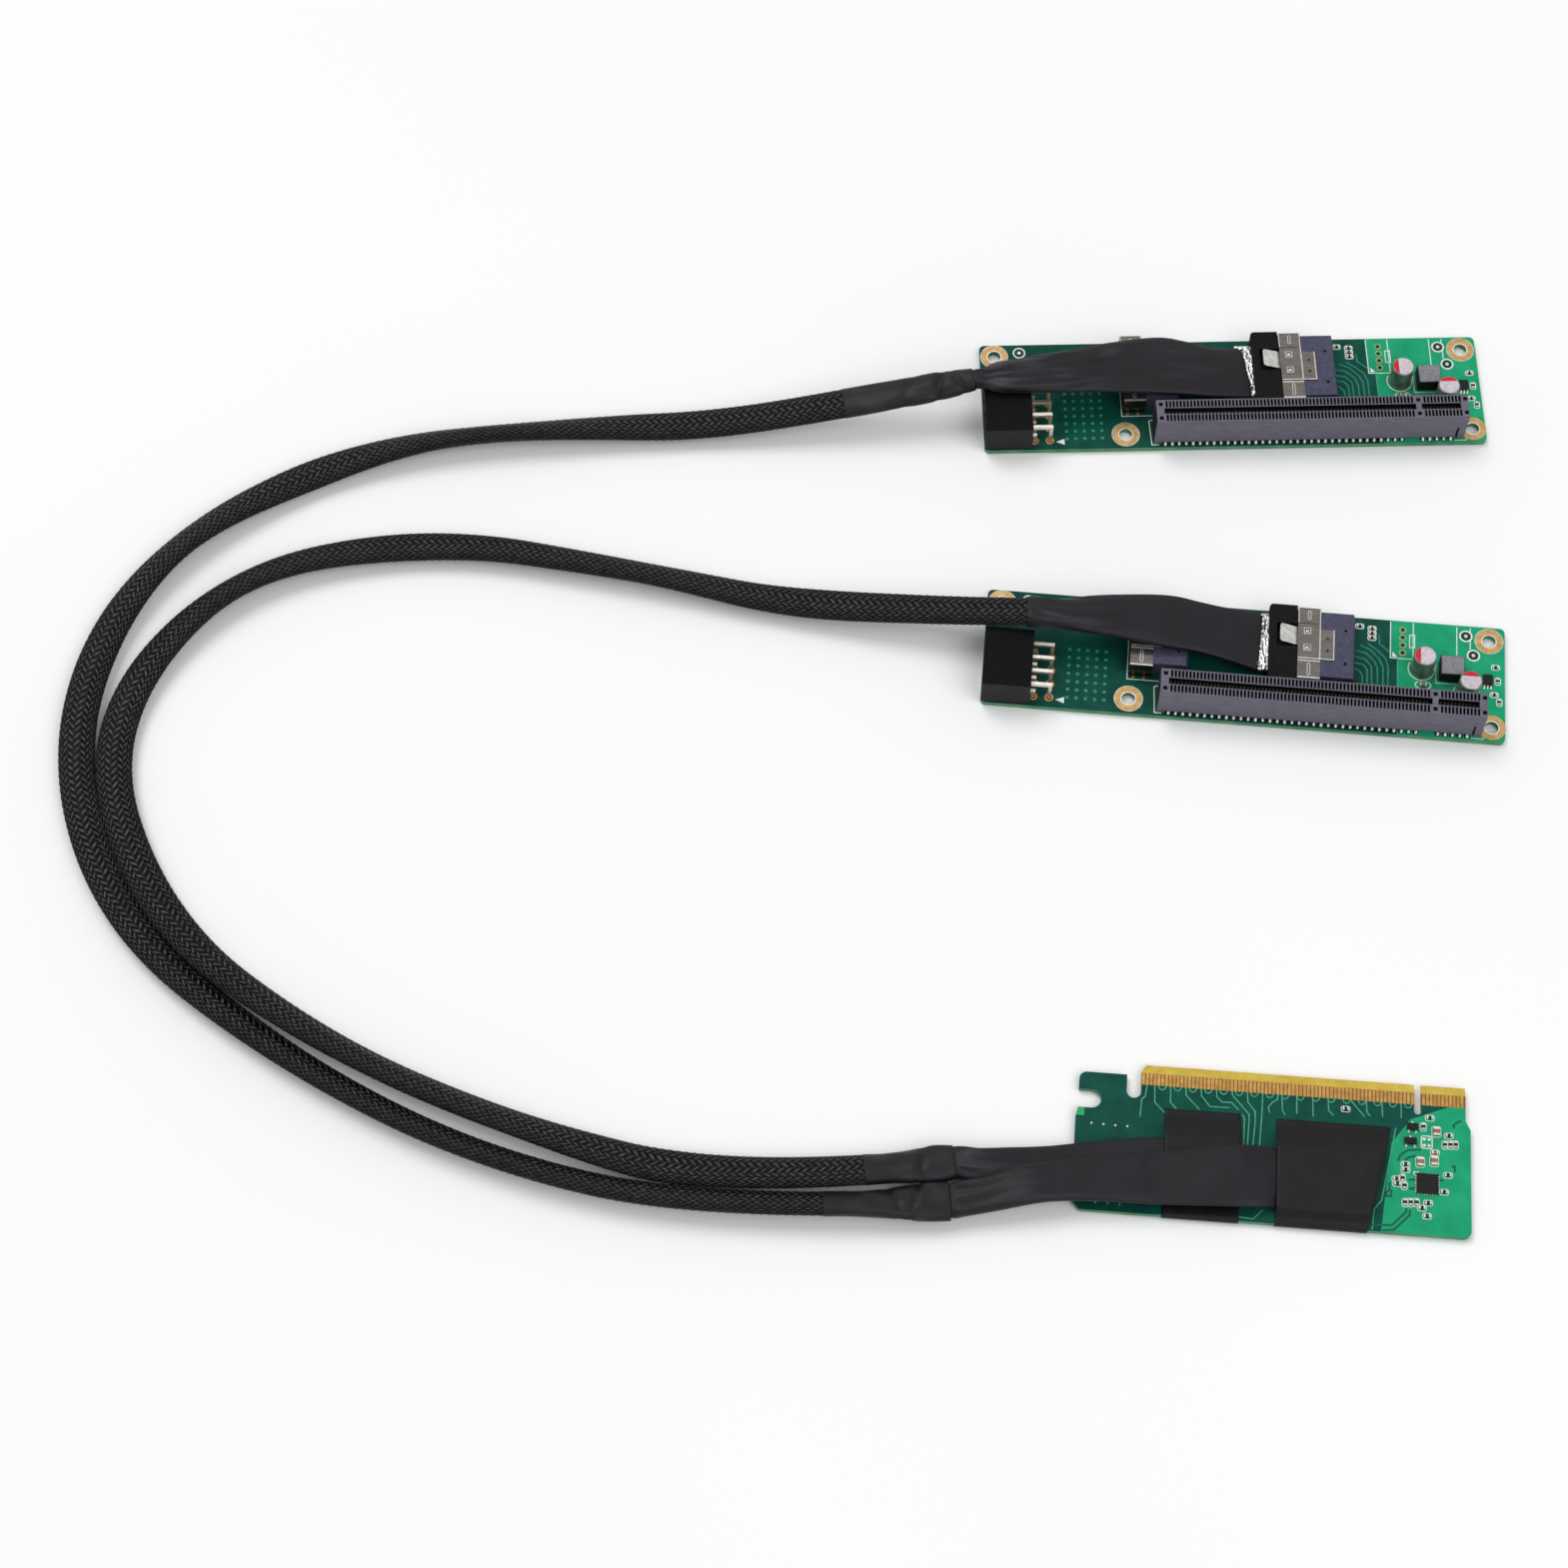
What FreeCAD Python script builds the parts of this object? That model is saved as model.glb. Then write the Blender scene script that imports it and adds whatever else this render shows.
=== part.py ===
import FreeCAD, Part
import math
import os

# Adapter cable set: one edge-connector card joined by two braided cables to two slot boards.
# Millimetres. +X right, +Y away from the viewer, +Z up, floor at z = 0.
# Origin: bottom centre of the box around the three circuit boards.

os.makedirs("parts", exist_ok=True)
V = FreeCAD.Vector

# Placement of each board on the floor: front-left corner (host: left end of the tongue tip) and turn.
BOARD_1_X, BOARD_1_Y, BOARD_1_TURN = -70.36, 99.39, 1.25
BOARD_2_X, BOARD_2_Y, BOARD_2_TURN = -73.82, 17.68, -5.12
HOST_X, HOST_Y, HOST_TURN = -34.12, -90.32, -4.56

# Slot board
board_len = 144.3
board_depth = 36.0
board_thick = 1.6
board_corner_r = 1.5
mount_hole_r = 1.85
mount_holes = [
    (4.2, board_depth - 4.0), (board_len - 4.4, board_depth - 4.4), (board_len - 3.7, 4.4), (40.7, 4.6),
]
ring_r = 3.85
ring_clear = 0.25
plate_thick = 0.05
fan_hole_r = 0.5
fan_ring_r = 0.95
fan_hole_x = board_len - 28.3
fan_hole_y0 = 25.9
fan_hole_pitch = 2.44
fan_hole_count = 4

# Card slot
slot_x = 48.6
slot_y = 1.3
slot_len = 89.0
slot_width = 7.5
slot_height = 11.25
channel_width = 1.9
channel_depth = 8.0
slot_end_wall = 2.2
key_x = 74.8
key_width = 1.6
contact_pitch = 1.0
contact_left_count = 71
contact_right_count = 11
contact_left_x = 3.0
contact_right_x = 76.6
window_width = 0.6
window_len = 1.7
window_depth = 5.0
window_wall = 0.5
blade_width = 0.4
blade_thick = 0.5
blade_height = 4.2
tail_pitch = 2.0
tail_count = 42
tail_x0 = 3.2
tail_width = 0.8
tail_len = 1.1
tail_height = 0.6
tail_out = 0.6
relief_height = 0.8
relief_depth = 0.9
groove_x = 86.3
groove_width = 0.7
groove_depth = 0.5
groove_height = 5.6

# Power header, mouth at the left edge of the board
header_y = 0.3
header_len = 13.4
header_width = 18.0
header_height = 10.0
header_top = board_thick + header_height
cell_size = 3.5
cell_pitch = 4.2
cell_depth = 11.0
cell_columns = 4
cell_low_z = 2.9
pin_size = 1.0
pin_start = 3.0
pin_low_x = 14.4
pin_high_x = 18.8
pin_clear = 0.05
pin_hole_r = 0.8
pin_tip_z = 0.05

# Cable receptacles
spare_x = 40.3
mated_x = 86.2
shell_y = 12.1
shell_len = 6.3
shell_width = 22.3
shell_thick = 0.3
shell_top = 7.6
shell_step = 0.15
section_front = 5.8
section_rear = 4.8
section_gap = 0.25
section_bridge = 0.8
hook_window = 1.5
hook_window_x = 2.6
hook_window_y = (14.9, 9.65)
rib_x = 2.6
rib_width = 1.0
rib_margin = 1.0
tongue_len = 3.8
tongue_y = 6.1
tongue_width = 9.6
dimple_r = 0.45
dimple_shares = (0.3, 0.7)
housing_side = 0.95
housing_len = 9.9
housing_slant = 0.8
slant_from = 4.5
pip_r = 0.45
pip_depth = 2.0
pip_x = 13.2
pip_y = (5.5, 16.0)
card_slot_depth = 4.6
card_slot_height = 1.5
card_slot_width = shell_width - 4.9
card_mid_z = 4.7
finger_count = 37
finger_side = 0.375
finger_pitch = (card_slot_width - 2 * finger_side) / finger_count
finger_width = 0.25
finger_thick = 0.2
finger_len = 3.6

# Small components of a slot board
can_r = 3.15
can_height = 7.7
can_places = [(board_len - 23.1, 21.2), (board_len - 10.6, 14.5)]
seal_r = 2.6
seal_height = 1.1
seal_clear = 0.15
inductor_box = (board_len - 18.3, 17.8, 6.5, 6.0, 4.4)
inductor_chamfer = 0.3
regulator_x = board_len - 6.1
regulator_box = (regulator_x, 17.4, 2.6, 3.1, 1.1)
lead_xs = (regulator_x + 0.2, regulator_x + 1.1, regulator_x + 2.0)
lead_size = (0.4, 1.1, 0.3)
# Chip parts by their middles; each size is along x, along y and up
flat_chip = (1.5, 0.8, 0.5)
flat_chip_places = [
    (104.0, 33.3), (107.45, 32.85), (107.45, 31.35), (107.45, 29.85),
    (board_len - 2.6, 23.4), (board_len - 3.0, 14.7),
]
upright_chip = (0.8, 1.5, 0.5)
upright_chip_places = [(board_len - 2.0, 19.0), (board_len - 1.6, 12.4)]
brown_chip = (1.9, 1.2, 1.0)
brown_chip_places = [(board_len - 22.6, 16.1)]

# Cable plug, measured along the slot board
plug_x = 78.2
plug_len = 7.8
plug_y = shell_y - 0.5
plug_width = shell_width + 1.1
plug_low = 2.0
plug_high = 7.6
plug_edge_r = 1.2
nose_len = 6.2
nose_side = 0.5
nose_low = 2.4
nose_high = 5.7
card_start = 79.2
card_width = card_slot_width - 0.8
card_thick = 1.0
card_reach = 4.1
card_clear = 0.05
latch_pivot_back = 0.2
latch_thick = 0.3
latch_low = 6.65
leaf_y = 20.9
leaf_width = 7.9
leaf_clear = 0.4
tab_y = 22.8
tab_width = 5.6
tab_corner_r = 0.8
tab_fold_x = 82.2
tab_end_x = 81.2
tab_fold_z = 8.2
tab_end_z = 8.5
hook_len = 0.9
hook_width = 0.9
hook_rise = 0.75
recess_x = 80.4
recess_floor = 5.4
recess_side = 0.8
boss_len = 1.0
boss_gap = 0.25
foil_x = 76.0
foil_y = 15.4
foil_width = 17.0
foil_low = 3.6
foil_thick = 2.6

# Host card, measured from the left end of its tongue tip
tape_thick = 0.25
host_low = tape_thick
host_top = host_low + board_thick
tongue_end = 84.3
host_right = 85.6
host_left = -16.8
host_depth = 41.4
host_shoulder = 9.4
bevel_len = 2.4
bevel_drop = 0.45
key_notch_x = 71.9
key_notch_width = 1.9
key_notch_depth = 8.4
host_gap_left = -3.8
host_gap_depth = 9.6
hook_left = -16.2
hook_top = 3.2
hook_under = 8.1
notch_end = -10.3
notch_low = 13.2
host_corner = 2.0
host_shoulder_drop = 2.4
tongue_lead_x = 1.2
tongue_lead_y = 1.9
host_finger_len = 3.3
host_finger_width = 0.7
host_finger_x = 0.5
host_finger_right_x = 73.4
controller_box = (71.5, -30.2, 5.6, 5.3, 0.9)
transistor_boxes = [(68.9, -13.0, 3.2, 1.7, 1.1), (68.2, -17.0, 3.5, 1.7, 1.1)]
flat_passive = (1.6, 0.85, 0.55)
flat_passive_places = [
    (75.0, -9.2), (79.9, -13.8), (76.3, -18.7), (68.7, -22.5), (68.7, -24.0), (66.4, -26.7), (66.6, -28.0),
    (79.6, -24.7), (78.6, -29.4), (74.5, -32.7), (72.9, -34.2), (74.2, -36.3), (53.2, -8.4),
]
upright_passive = (0.85, 1.6, 0.55)
upright_passive_places = [
    (73.3, -11.8), (78.9, -16.4), (80.3, -16.3), (81.6, -16.2), (67.9, -26.4), (68.4, -28.4),
    (68.6, -33.0), (70.0, -32.9), (71.5, -32.8),
]
large_passive = (1.6, 2.2, 0.8)
large_passive_places = [(76.7, -12.9), (72.5, -21.6), (76.1, -21.1)]

# Cables
bundle_r = 3.0
sleeve_clear = 0.3
sleeve_wall = 0.4
shrink_clear = 0.15
shrink_wall = 0.4
sleeve_inside = 8.0
host_shrink_len_1 = 33.0
host_shrink_len_2 = 24.0
slot_shrink_len = 38.0
bend_share = 0.45
slot_shrink_cable = 1
route_1 = [
    (-85.5, -129.4, 4.4), (-146.5, -131.6, 3.9), (-205.5, -118.0, 3.9), (-258.0, -90.5, 3.9),
    (-307.5, -50.0, 3.9), (-326.5, 8.0, 3.9), (-307.5, 63.5, 3.9), (-251.5, 98.5, 3.9),
    (-193.0, 105.5, 3.9), (-133.0, 107.5, 4.4), (-73.5, 115.2, header_top + 3.0),
]
route_2 = [
    (-84.0, -118.5, 4.4), (-142.0, -124.5, 3.9), (-197.5, -109.0, 3.9), (-249.5, -85.5, 3.9),
    (-296.0, -50.0, 3.9), (-317.5, 7.0, 3.9), (-286.0, 56.5, 3.9), (-228.5, 69.5, 3.9),
    (-170.5, 58.5, 3.9), (-116.0, 45.0, 4.4), (-59.0, 39.5, 13.5),
]
# Flat jacket sections along a board: x, front y, rear y, underside z, top z
slot_jacket_1 = [
    (4.3, 12.5, 21.5, header_top + 0.2, header_top + 3.6),
    (19.0, 12.2, 24.8, header_top + 0.1, header_top + 3.2), (36.0, 12.6, 29.0, 10.2, 13.0),
    (52.0, 12.8, 31.0, 8.6, 11.2), (58.0, 12.9, 30.6, 7.9, 10.5), (67.0, 13.2, 29.6, 5.8, 8.4),
    (foil_x, 13.9, 31.4, foil_low, foil_low + foil_thick),
]
slot_jacket_2 = [
    (20.0, 18.8, 27.5, 11.0, 15.4), (34.0, 18.1, 30.3, 10.2, 13.4), (49.0, 17.0, 32.3, 8.7, 11.4),
    (58.0, 16.7, 32.3, 7.9, 10.5), (66.0, 16.2, 32.6, 5.9, 8.5),
    (foil_x, 14.6, 33.4, foil_low, foil_low + foil_thick),
]
jacket_flat = 2.2
jacket_edge_share = 0.45
jacket_over = 2.5
wire_count = 8
wire_pitch = 1.5
wire_width = 1.0
wire_height = 0.8
wire_len = 9.0
jacket_1_end = 42.0
jacket_2_end = 14.0
over_tape = host_top + jacket_flat + tape_thick + 0.15
host_jacket_1 = [
    (-43.0, -45.6, -36.9, 2.6, 7.6), (-35.5, -44.4, -35.0, 4.0, 8.2), (-28.0, -43.0, -32.5, 5.5, 9.1),
    (-20.5, -41.5, -30.7, 5.3, 8.6), (-10.3, -40.6, -28.4, 5.0, 8.0), (0.0, -40.2, -26.6, 4.7, 7.5),
    (5.0, -40.0, -25.6, over_tape, over_tape + 2.65), (27.0, -38.8, -22.0, over_tape, over_tape + 2.55),
    (34.6, -37.6, -21.2, host_top, host_top + jacket_over),
    (jacket_1_end, -37.4, -21.2, host_top, host_top + jacket_over),
]
host_jacket_2 = [
    (-41.0, -36.0, -28.0, host_top + 0.35, host_top + 4.95),
    (-33.5, -34.4, -26.9, host_top + 0.25, host_top + 3.85),
    (-23.4, -34.0, -25.5, host_top + 0.25, host_top + 2.95),
    (-13.0, -33.8, -23.4, host_top, host_top + 2.4), (-3.0, -33.6, -21.7, host_top, host_top + 2.3),
    (5.4, -33.5, -20.6, host_top, host_top + jacket_flat),
    (jacket_2_end, -33.5, -20.6, host_top, host_top + jacket_flat),
]
tape_1_x = (6.3, 26.0)
tape_1_top = -12.0
tape_1_over = (-34.6, -19.6)
tape_2_x = (35.3, 64.9)
tape_2_low_x = 59.0
tape_2_top = -12.6
tape_2_over = (-38.6, -20.2)
tape_under = -14.0
tape_ramp = 1.0

NODES = {}


def box(x, y, z, lx, ly, lz):
    return Part.makeBox(lx, ly, lz, V(x, y, z))


def rod(x, y, z, radius, height):
    return Part.makeCylinder(radius, height, V(x, y, z))


def prism(points, normal_length):
    """Solid swept from a flat outline of points along normal_length."""
    wire = Part.makePolygon([V(*p) for p in points + points[:1]])
    return Part.Face(wire).extrude(V(*normal_length))


def joined(shapes):
    return shapes[0].multiFuse(shapes[1:]).removeSplitter()


def grouped(shapes):
    return Part.makeCompound(shapes)


def less(shape, tools):
    return shape.cut(grouped(tools))


class Spot:
    """Place of a board on the floor."""

    def __init__(self, x, y, turn):
        self.x, self.y, self.turn = x, y, turn

    def put(self, shape):
        moved = shape.copy()
        moved.rotate(V(0, 0, 0), V(0, 0, 1), self.turn)
        moved.translate(V(self.x, self.y, 0))
        return moved

    def point(self, x, y, z):
        turn = math.radians(self.turn)
        return V(
            self.x + x * math.cos(turn) - y * math.sin(turn),
            self.y + x * math.sin(turn) + y * math.cos(turn),
            z,
        )

    def along(self):
        turn = math.radians(self.turn)
        return V(math.cos(turn), math.sin(turn), 0)


def slot_board():
    board = box(0, 0, 0, board_len, board_depth, board_thick)
    upright = [e for e in board.Edges if abs(e.Vertexes[0].Z - e.Vertexes[1].Z) > board_thick / 2]
    board = board.makeFillet(board_corner_r, upright)
    holes = [rod(x, y, 0, mount_hole_r, board_thick) for x, y in mount_holes]
    holes += [rod(fan_hole_x, y, 0, fan_hole_r, board_thick) for y in fan_hole_ys()]
    holes += [rod(x, y, 0, pin_hole_r, board_thick) for x in (pin_low_x, pin_high_x) for y in pin_ys()]
    return less(board, holes)


def fan_hole_ys():
    return [fan_hole_y0 + i * fan_hole_pitch for i in range(fan_hole_count)]


def pin_ys():
    middle = header_y + header_width / 2
    return [middle + (i - (cell_columns - 1) / 2) * cell_pitch for i in range(cell_columns)]


def hole_rings():
    rings = []
    for x, y in mount_holes:
        plate = rod(x, y, board_thick, ring_r, plate_thick)
        rings.append(plate.cut(rod(x, y, board_thick, mount_hole_r + ring_clear, plate_thick)))
    for y in fan_hole_ys():
        plate = rod(fan_hole_x, y, board_thick, fan_ring_r, plate_thick)
        rings.append(plate.cut(rod(fan_hole_x, y, board_thick, fan_hole_r + ring_clear, plate_thick)))
    slot_foot = box(slot_x, slot_y, board_thick, slot_len, slot_width, plate_thick)
    return grouped([ring.cut(slot_foot) for ring in rings])


def contact_xs():
    left = [contact_left_x + i * contact_pitch for i in range(contact_left_count)]
    right = [contact_right_x + i * contact_pitch for i in range(contact_right_count)]
    return [slot_x + x for x in left + right]


def contact_ys():
    middle = slot_y + slot_width / 2
    reach = channel_width / 2 + window_wall + window_len / 2
    return [middle - reach, middle + reach]


def slot_housing():
    top = board_thick + slot_height
    block = box(slot_x, slot_y, board_thick, slot_len, slot_width, slot_height)
    channel_y = slot_y + (slot_width - channel_width) / 2
    channel_z = top - channel_depth
    key_left = slot_x + key_x - key_width / 2
    key_right = key_left + key_width
    channel_left = slot_x + slot_end_wall
    channel_right = slot_x + slot_len - slot_end_wall
    cuts = [
        box(channel_left, channel_y, channel_z, key_left - channel_left, channel_width, channel_depth),
        box(key_right, channel_y, channel_z, channel_right - key_right, channel_width, channel_depth),
        box(slot_x + groove_x, slot_y, board_thick, groove_width, groove_depth, groove_height),
    ]
    for y in (slot_y, slot_y + slot_width - relief_depth):
        span = channel_right - channel_left
        cuts.append(box(channel_left, y, board_thick, span, relief_depth, relief_height))
    for x in contact_xs():
        for y in contact_ys():
            cuts.append(
                box(
                    x - window_width / 2, y - window_len / 2, top - window_depth,
                    window_width, window_len, window_depth,
                )
            )
    return less(block, cuts)


def slot_contacts():
    floor_z = board_thick + slot_height - window_depth
    parts = []
    for x in contact_xs():
        for y in contact_ys():
            parts.append(
                box(x - blade_width / 2, y - blade_thick / 2, floor_z, blade_width, blade_thick, blade_height)
            )
    rear_y = slot_y + slot_width + tail_out - tail_len
    for i in range(tail_count):
        x = tail_x0 + i * tail_pitch
        if abs(x - key_x) < key_width:
            continue
        for y in (slot_y - tail_out, rear_y):
            parts.append(box(slot_x + x - tail_width / 2, y, board_thick, tail_width, tail_len, tail_height))
    return grouped(parts)


def cell_zs():
    low = board_thick + cell_low_z
    return [low, low + cell_pitch]


def header_housing():
    block = box(0, header_y, board_thick, header_len, header_width, header_height)
    cuts = []
    hole = pin_size + 2 * pin_clear
    for y in pin_ys():
        for z in cell_zs():
            cuts.append(box(0, y - cell_size / 2, z - cell_size / 2, cell_depth, cell_size, cell_size))
            cuts.append(box(cell_depth, y - hole / 2, z - hole / 2, header_len - cell_depth, hole, hole))
    return less(block, cuts)


def header_pins():
    pins = []
    for y in pin_ys():
        for z, end in zip(cell_zs(), (pin_low_x, pin_high_x)):
            half = pin_size / 2
            outline = [
                (pin_start, y - half, z - half),
                (end - half, y - half, z - half),
                (end - half, y - half, pin_tip_z),
                (end + half, y - half, pin_tip_z),
                (end + half, y - half, z + half),
                (pin_start, y - half, z + half),
            ]
            pins.append(prism(outline, (0, pin_size, 0)))
    return grouped(pins)


def receptacle_housing(x0):
    left = x0 + shell_len
    top = shell_top - shell_step
    y0 = shell_y + housing_side
    width = shell_width - 2 * housing_side
    outline = [
        (left, y0, board_thick),
        (left + housing_len, y0, board_thick),
        (left + housing_len, y0, slant_from),
        (left + housing_len - housing_slant, y0, top),
        (left, y0, top),
    ]
    block = prism(outline, (0, width, 0))
    card_y = shell_y + (shell_width - card_slot_width) / 2
    cuts = [
        box(
            left, card_y, card_mid_z - card_slot_height / 2,
            card_slot_depth, card_slot_width, card_slot_height,
        )
    ]
    for y in pip_y:
        cuts.append(rod(x0 + pip_x, shell_y + y, top - pip_depth, pip_r, pip_depth))
    return less(block, cuts)


def receptacle_shell(x0):
    low = shell_top - shell_thick
    rear = shell_y + shell_width
    middle_y = shell_y + section_front + section_gap
    middle_width = shell_width - section_front - section_rear - 2 * section_gap
    raised = low + shell_step
    sheets = [
        box(x0, shell_y, low, shell_len, section_front, shell_thick),
        box(x0, rear - section_rear, low, shell_len, section_rear, shell_thick),
        box(x0, middle_y, raised, shell_len, middle_width, shell_thick),
        box(x0 + shell_len - section_bridge, shell_y, low, section_bridge, shell_width, shell_thick),
        box(x0, shell_y, board_thick, shell_len, shell_thick, shell_top - board_thick),
        box(x0, rear - shell_thick, board_thick, shell_len, shell_thick, shell_top - board_thick),
        box(x0 + shell_len, shell_y + tongue_y, raised, tongue_len, tongue_width, shell_thick),
        box(
            x0 + rib_x, shell_y + rib_margin, shell_top,
            rib_width, section_front - 2 * rib_margin, shell_step,
        ),
        box(
            x0 + rib_x, rear - section_rear + rib_margin, shell_top,
            rib_width, section_rear - 2 * rib_margin, shell_step,
        ),
    ]
    cuts = []
    for y in hook_window_y:
        cuts.append(
            box(
                x0 + hook_window_x - hook_window / 2, shell_y + y - hook_window / 2, low,
                hook_window, hook_window, 2 * shell_thick,
            )
        )
    for share in dimple_shares:
        y = shell_y + tongue_y + share * tongue_width
        cuts.append(rod(x0 + shell_len + tongue_len / 2, y, low, dimple_r, 2 * shell_thick))
    return less(joined(sheets), cuts)


def receptacle_contacts():
    parts = []
    low = card_mid_z - card_slot_height / 2
    high = card_mid_z + card_slot_height / 2 - finger_thick
    middle = shell_y + shell_width / 2
    for x0 in (spare_x, mated_x):
        x = x0 + shell_len + card_slot_depth - finger_len
        for i in range(finger_count):
            y = middle + (i - (finger_count - 1) / 2) * finger_pitch - finger_width / 2
            for z in (low, high):
                parts.append(box(x, y, z, finger_len, finger_width, finger_thick))
    return grouped(parts)


def capacitor_cans():
    cans = []
    for x, y in can_places:
        can = rod(x, y, board_thick, can_r, can_height)
        cans.append(can.cut(rod(x, y, board_thick, seal_r + seal_clear, seal_height + seal_clear)))
    return grouped(cans)


def capacitor_seals():
    return grouped([rod(x, y, board_thick, seal_r, seal_height) for x, y in can_places])


def inductor():
    x, y, lx, ly, lz = inductor_box
    block = box(x, y, board_thick, lx, ly, lz)
    upper = [e for e in block.Edges if min(v.Z for v in e.Vertexes) > board_thick + lz / 2]
    return block.makeChamfer(inductor_chamfer, upper)


def regulator():
    x, y, lx, ly, lz = regulator_box
    parts = [box(x, y, board_thick, lx, ly, lz)]
    for lead_x in lead_xs:
        parts.append(box(lead_x, y - lead_size[1], board_thick, *lead_size))
    return grouped(parts)


def middled_boxes(size, places, z):
    lx, ly, lz = size
    return [box(x - lx / 2, y - ly / 2, z, lx, ly, lz) for x, y in places]


def chips():
    parts = middled_boxes(flat_chip, flat_chip_places, board_thick)
    parts += middled_boxes(upright_chip, upright_chip_places, board_thick)
    parts += middled_boxes(brown_chip, brown_chip_places, board_thick)
    return grouped(parts)


def plug_card_box(clear):
    y = shell_y + (shell_width - card_width) / 2
    length = mated_x + shell_len + card_reach - card_start
    return box(
        card_start - clear, y - clear, card_mid_z - card_thick / 2 - clear,
        length + 2 * clear, card_width + 2 * clear, card_thick + 2 * clear,
    )


def plug_body():
    front = plug_x + plug_len
    rear_block = box(plug_x, plug_y, plug_low, plug_len, plug_width, plug_high - plug_low)
    half = plug_x + plug_len / 2
    back_edges = [e for e in rear_block.Edges if e.BoundBox.XMax < half and e.BoundBox.ZLength > plug_edge_r]
    rear_block = rear_block.makeFillet(plug_edge_r, back_edges)
    nose_y = shell_y + shell_thick + nose_side
    nose_width = shell_width - 2 * shell_thick - 2 * nose_side
    nose = box(front, nose_y, nose_low, nose_len, nose_width, nose_high - nose_low)
    boss = box(
        front + nose_len - boss_len, leaf_y, nose_high,
        boss_len, leaf_width, latch_low - boss_gap - nose_high,
    )
    recess = box(
        recess_x, tab_y - recess_side, recess_floor,
        front - recess_x, tab_width + 2 * recess_side, plug_high - recess_floor,
    )
    return less(joined([rear_block, nose, boss]), [recess, plug_card_box(card_clear)])


def plug_latch():
    front = plug_x + plug_len
    tip = front + nose_len - latch_pivot_back
    top = latch_low + latch_thick
    start = front + leaf_clear
    leaf = box(start, leaf_y, latch_low, tip - start, leaf_width, latch_thick)
    outline = [
        (start, tab_y, latch_low),
        (tab_fold_x, tab_y, tab_fold_z),
        (tab_end_x, tab_y, tab_end_z),
        (tab_end_x, tab_y, tab_end_z + latch_thick),
        (tab_fold_x, tab_y, tab_fold_z + latch_thick),
        (start, tab_y, top),
    ]
    tab = prism(outline, (0, tab_width, 0))
    end_corners = [
        e for e in tab.Edges if e.BoundBox.XMax < tab_end_x + latch_thick and e.BoundBox.YLength < latch_thick
    ]
    tab = tab.makeFillet(tab_corner_r, end_corners)
    hooks = []
    for y in hook_window_y:
        hooks.append(
            box(
                mated_x + hook_window_x - hook_len / 2, shell_y + y - hook_width / 2, top,
                hook_len, hook_width, hook_rise,
            )
        )
    return joined([leaf, tab] + hooks)


def foil_band():
    return box(foil_x, foil_y, foil_low, plug_x - foil_x, foil_width, foil_thick)


def arc_outline(points):
    """Closed flat wire: a point, or a (middle, end) pair that makes an arc from the last point."""
    edges = []
    last = V(*points[0])
    for item in points[1:] + points[:1]:
        if isinstance(item[0], tuple):
            middle, end = V(*item[0]), V(*item[1])
            edges.append(Part.Arc(last, middle, end).toShape())
        else:
            end = V(*item)
            edges.append(Part.LineSegment(last, end).toShape())
        last = end
    return Part.Wire(edges)


def host_outline():
    z = host_low
    gap_r = -host_gap_left / 2
    key_l = key_notch_x - key_notch_width / 2
    key_r = key_notch_x + key_notch_width / 2
    key_half = key_notch_width / 2
    notch_r = (notch_low - hook_under) / 2
    notch_mid = -(notch_low + hook_under) / 2
    corner = host_corner
    diag = corner * (1 - math.sqrt(0.5))
    low = -host_depth
    return [
        (0, -tongue_lead_y, z),
        (tongue_lead_x, 0, z),
        (key_l, 0, z),
        (key_l, -key_notch_depth + key_half, z),
        ((key_notch_x, -key_notch_depth, z), (key_r, -key_notch_depth + key_half, z)),
        (key_r, 0, z),
        (tongue_end, 0, z),
        (tongue_end, -host_shoulder, z),
        (host_right, -host_shoulder - host_shoulder_drop, z),
        (host_right, low + corner, z),
        ((host_right - diag, low + diag, z), (host_right - corner, low, z)),
        (host_left + corner, low, z),
        (host_left, low + corner, z),
        (host_left, -notch_low - host_shoulder_drop, z),
        (hook_left, -notch_low, z),
        (notch_end - notch_r, -notch_low, z),
        ((notch_end, notch_mid, z), (notch_end - notch_r, -hook_under, z)),
        (hook_left, -hook_under, z),
        (hook_left, -hook_top - corner, z),
        ((hook_left + diag, -hook_top - diag, z), (hook_left + corner, -hook_top, z)),
        (host_gap_left, -hook_top, z),
        (host_gap_left, -host_gap_depth + gap_r, z),
        ((host_gap_left + gap_r, -host_gap_depth, z), (0, -host_gap_depth + gap_r, z)),
    ]


def host_board():
    board = Part.Face(arc_outline(host_outline())).extrude(V(0, 0, board_thick))
    wedges = []
    for z, step in ((host_top, -bevel_drop), (host_low, bevel_drop)):
        outline = [(0, 0, z), (0, -bevel_len, z), (0, 0, z + step)]
        wedges.append(prism(outline, (tongue_end, 0, 0)))
    return less(board, wedges)


def host_contacts():
    xs = [host_finger_x + i * contact_pitch for i in range(contact_left_count)]
    xs += [host_finger_right_x + i * contact_pitch for i in range(contact_right_count)]
    y = -bevel_len - host_finger_len
    parts = []
    for x in xs:
        for z in (host_top, host_low - plate_thick):
            left = x - host_finger_width / 2
            parts.append(box(left, y, z, host_finger_width, host_finger_len, plate_thick))
    return grouped(parts)


def host_controller():
    x, y, lx, ly, lz = controller_box
    return box(x, y, host_top, lx, ly, lz)


def host_transistors():
    return grouped([box(x, y, host_top, lx, ly, lz) for x, y, lx, ly, lz in transistor_boxes])


def host_passives():
    parts = middled_boxes(flat_passive, flat_passive_places, host_top)
    parts += middled_boxes(upright_passive, upright_passive_places, host_top)
    parts += middled_boxes(large_passive, large_passive_places, host_top)
    return grouped(parts)


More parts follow.
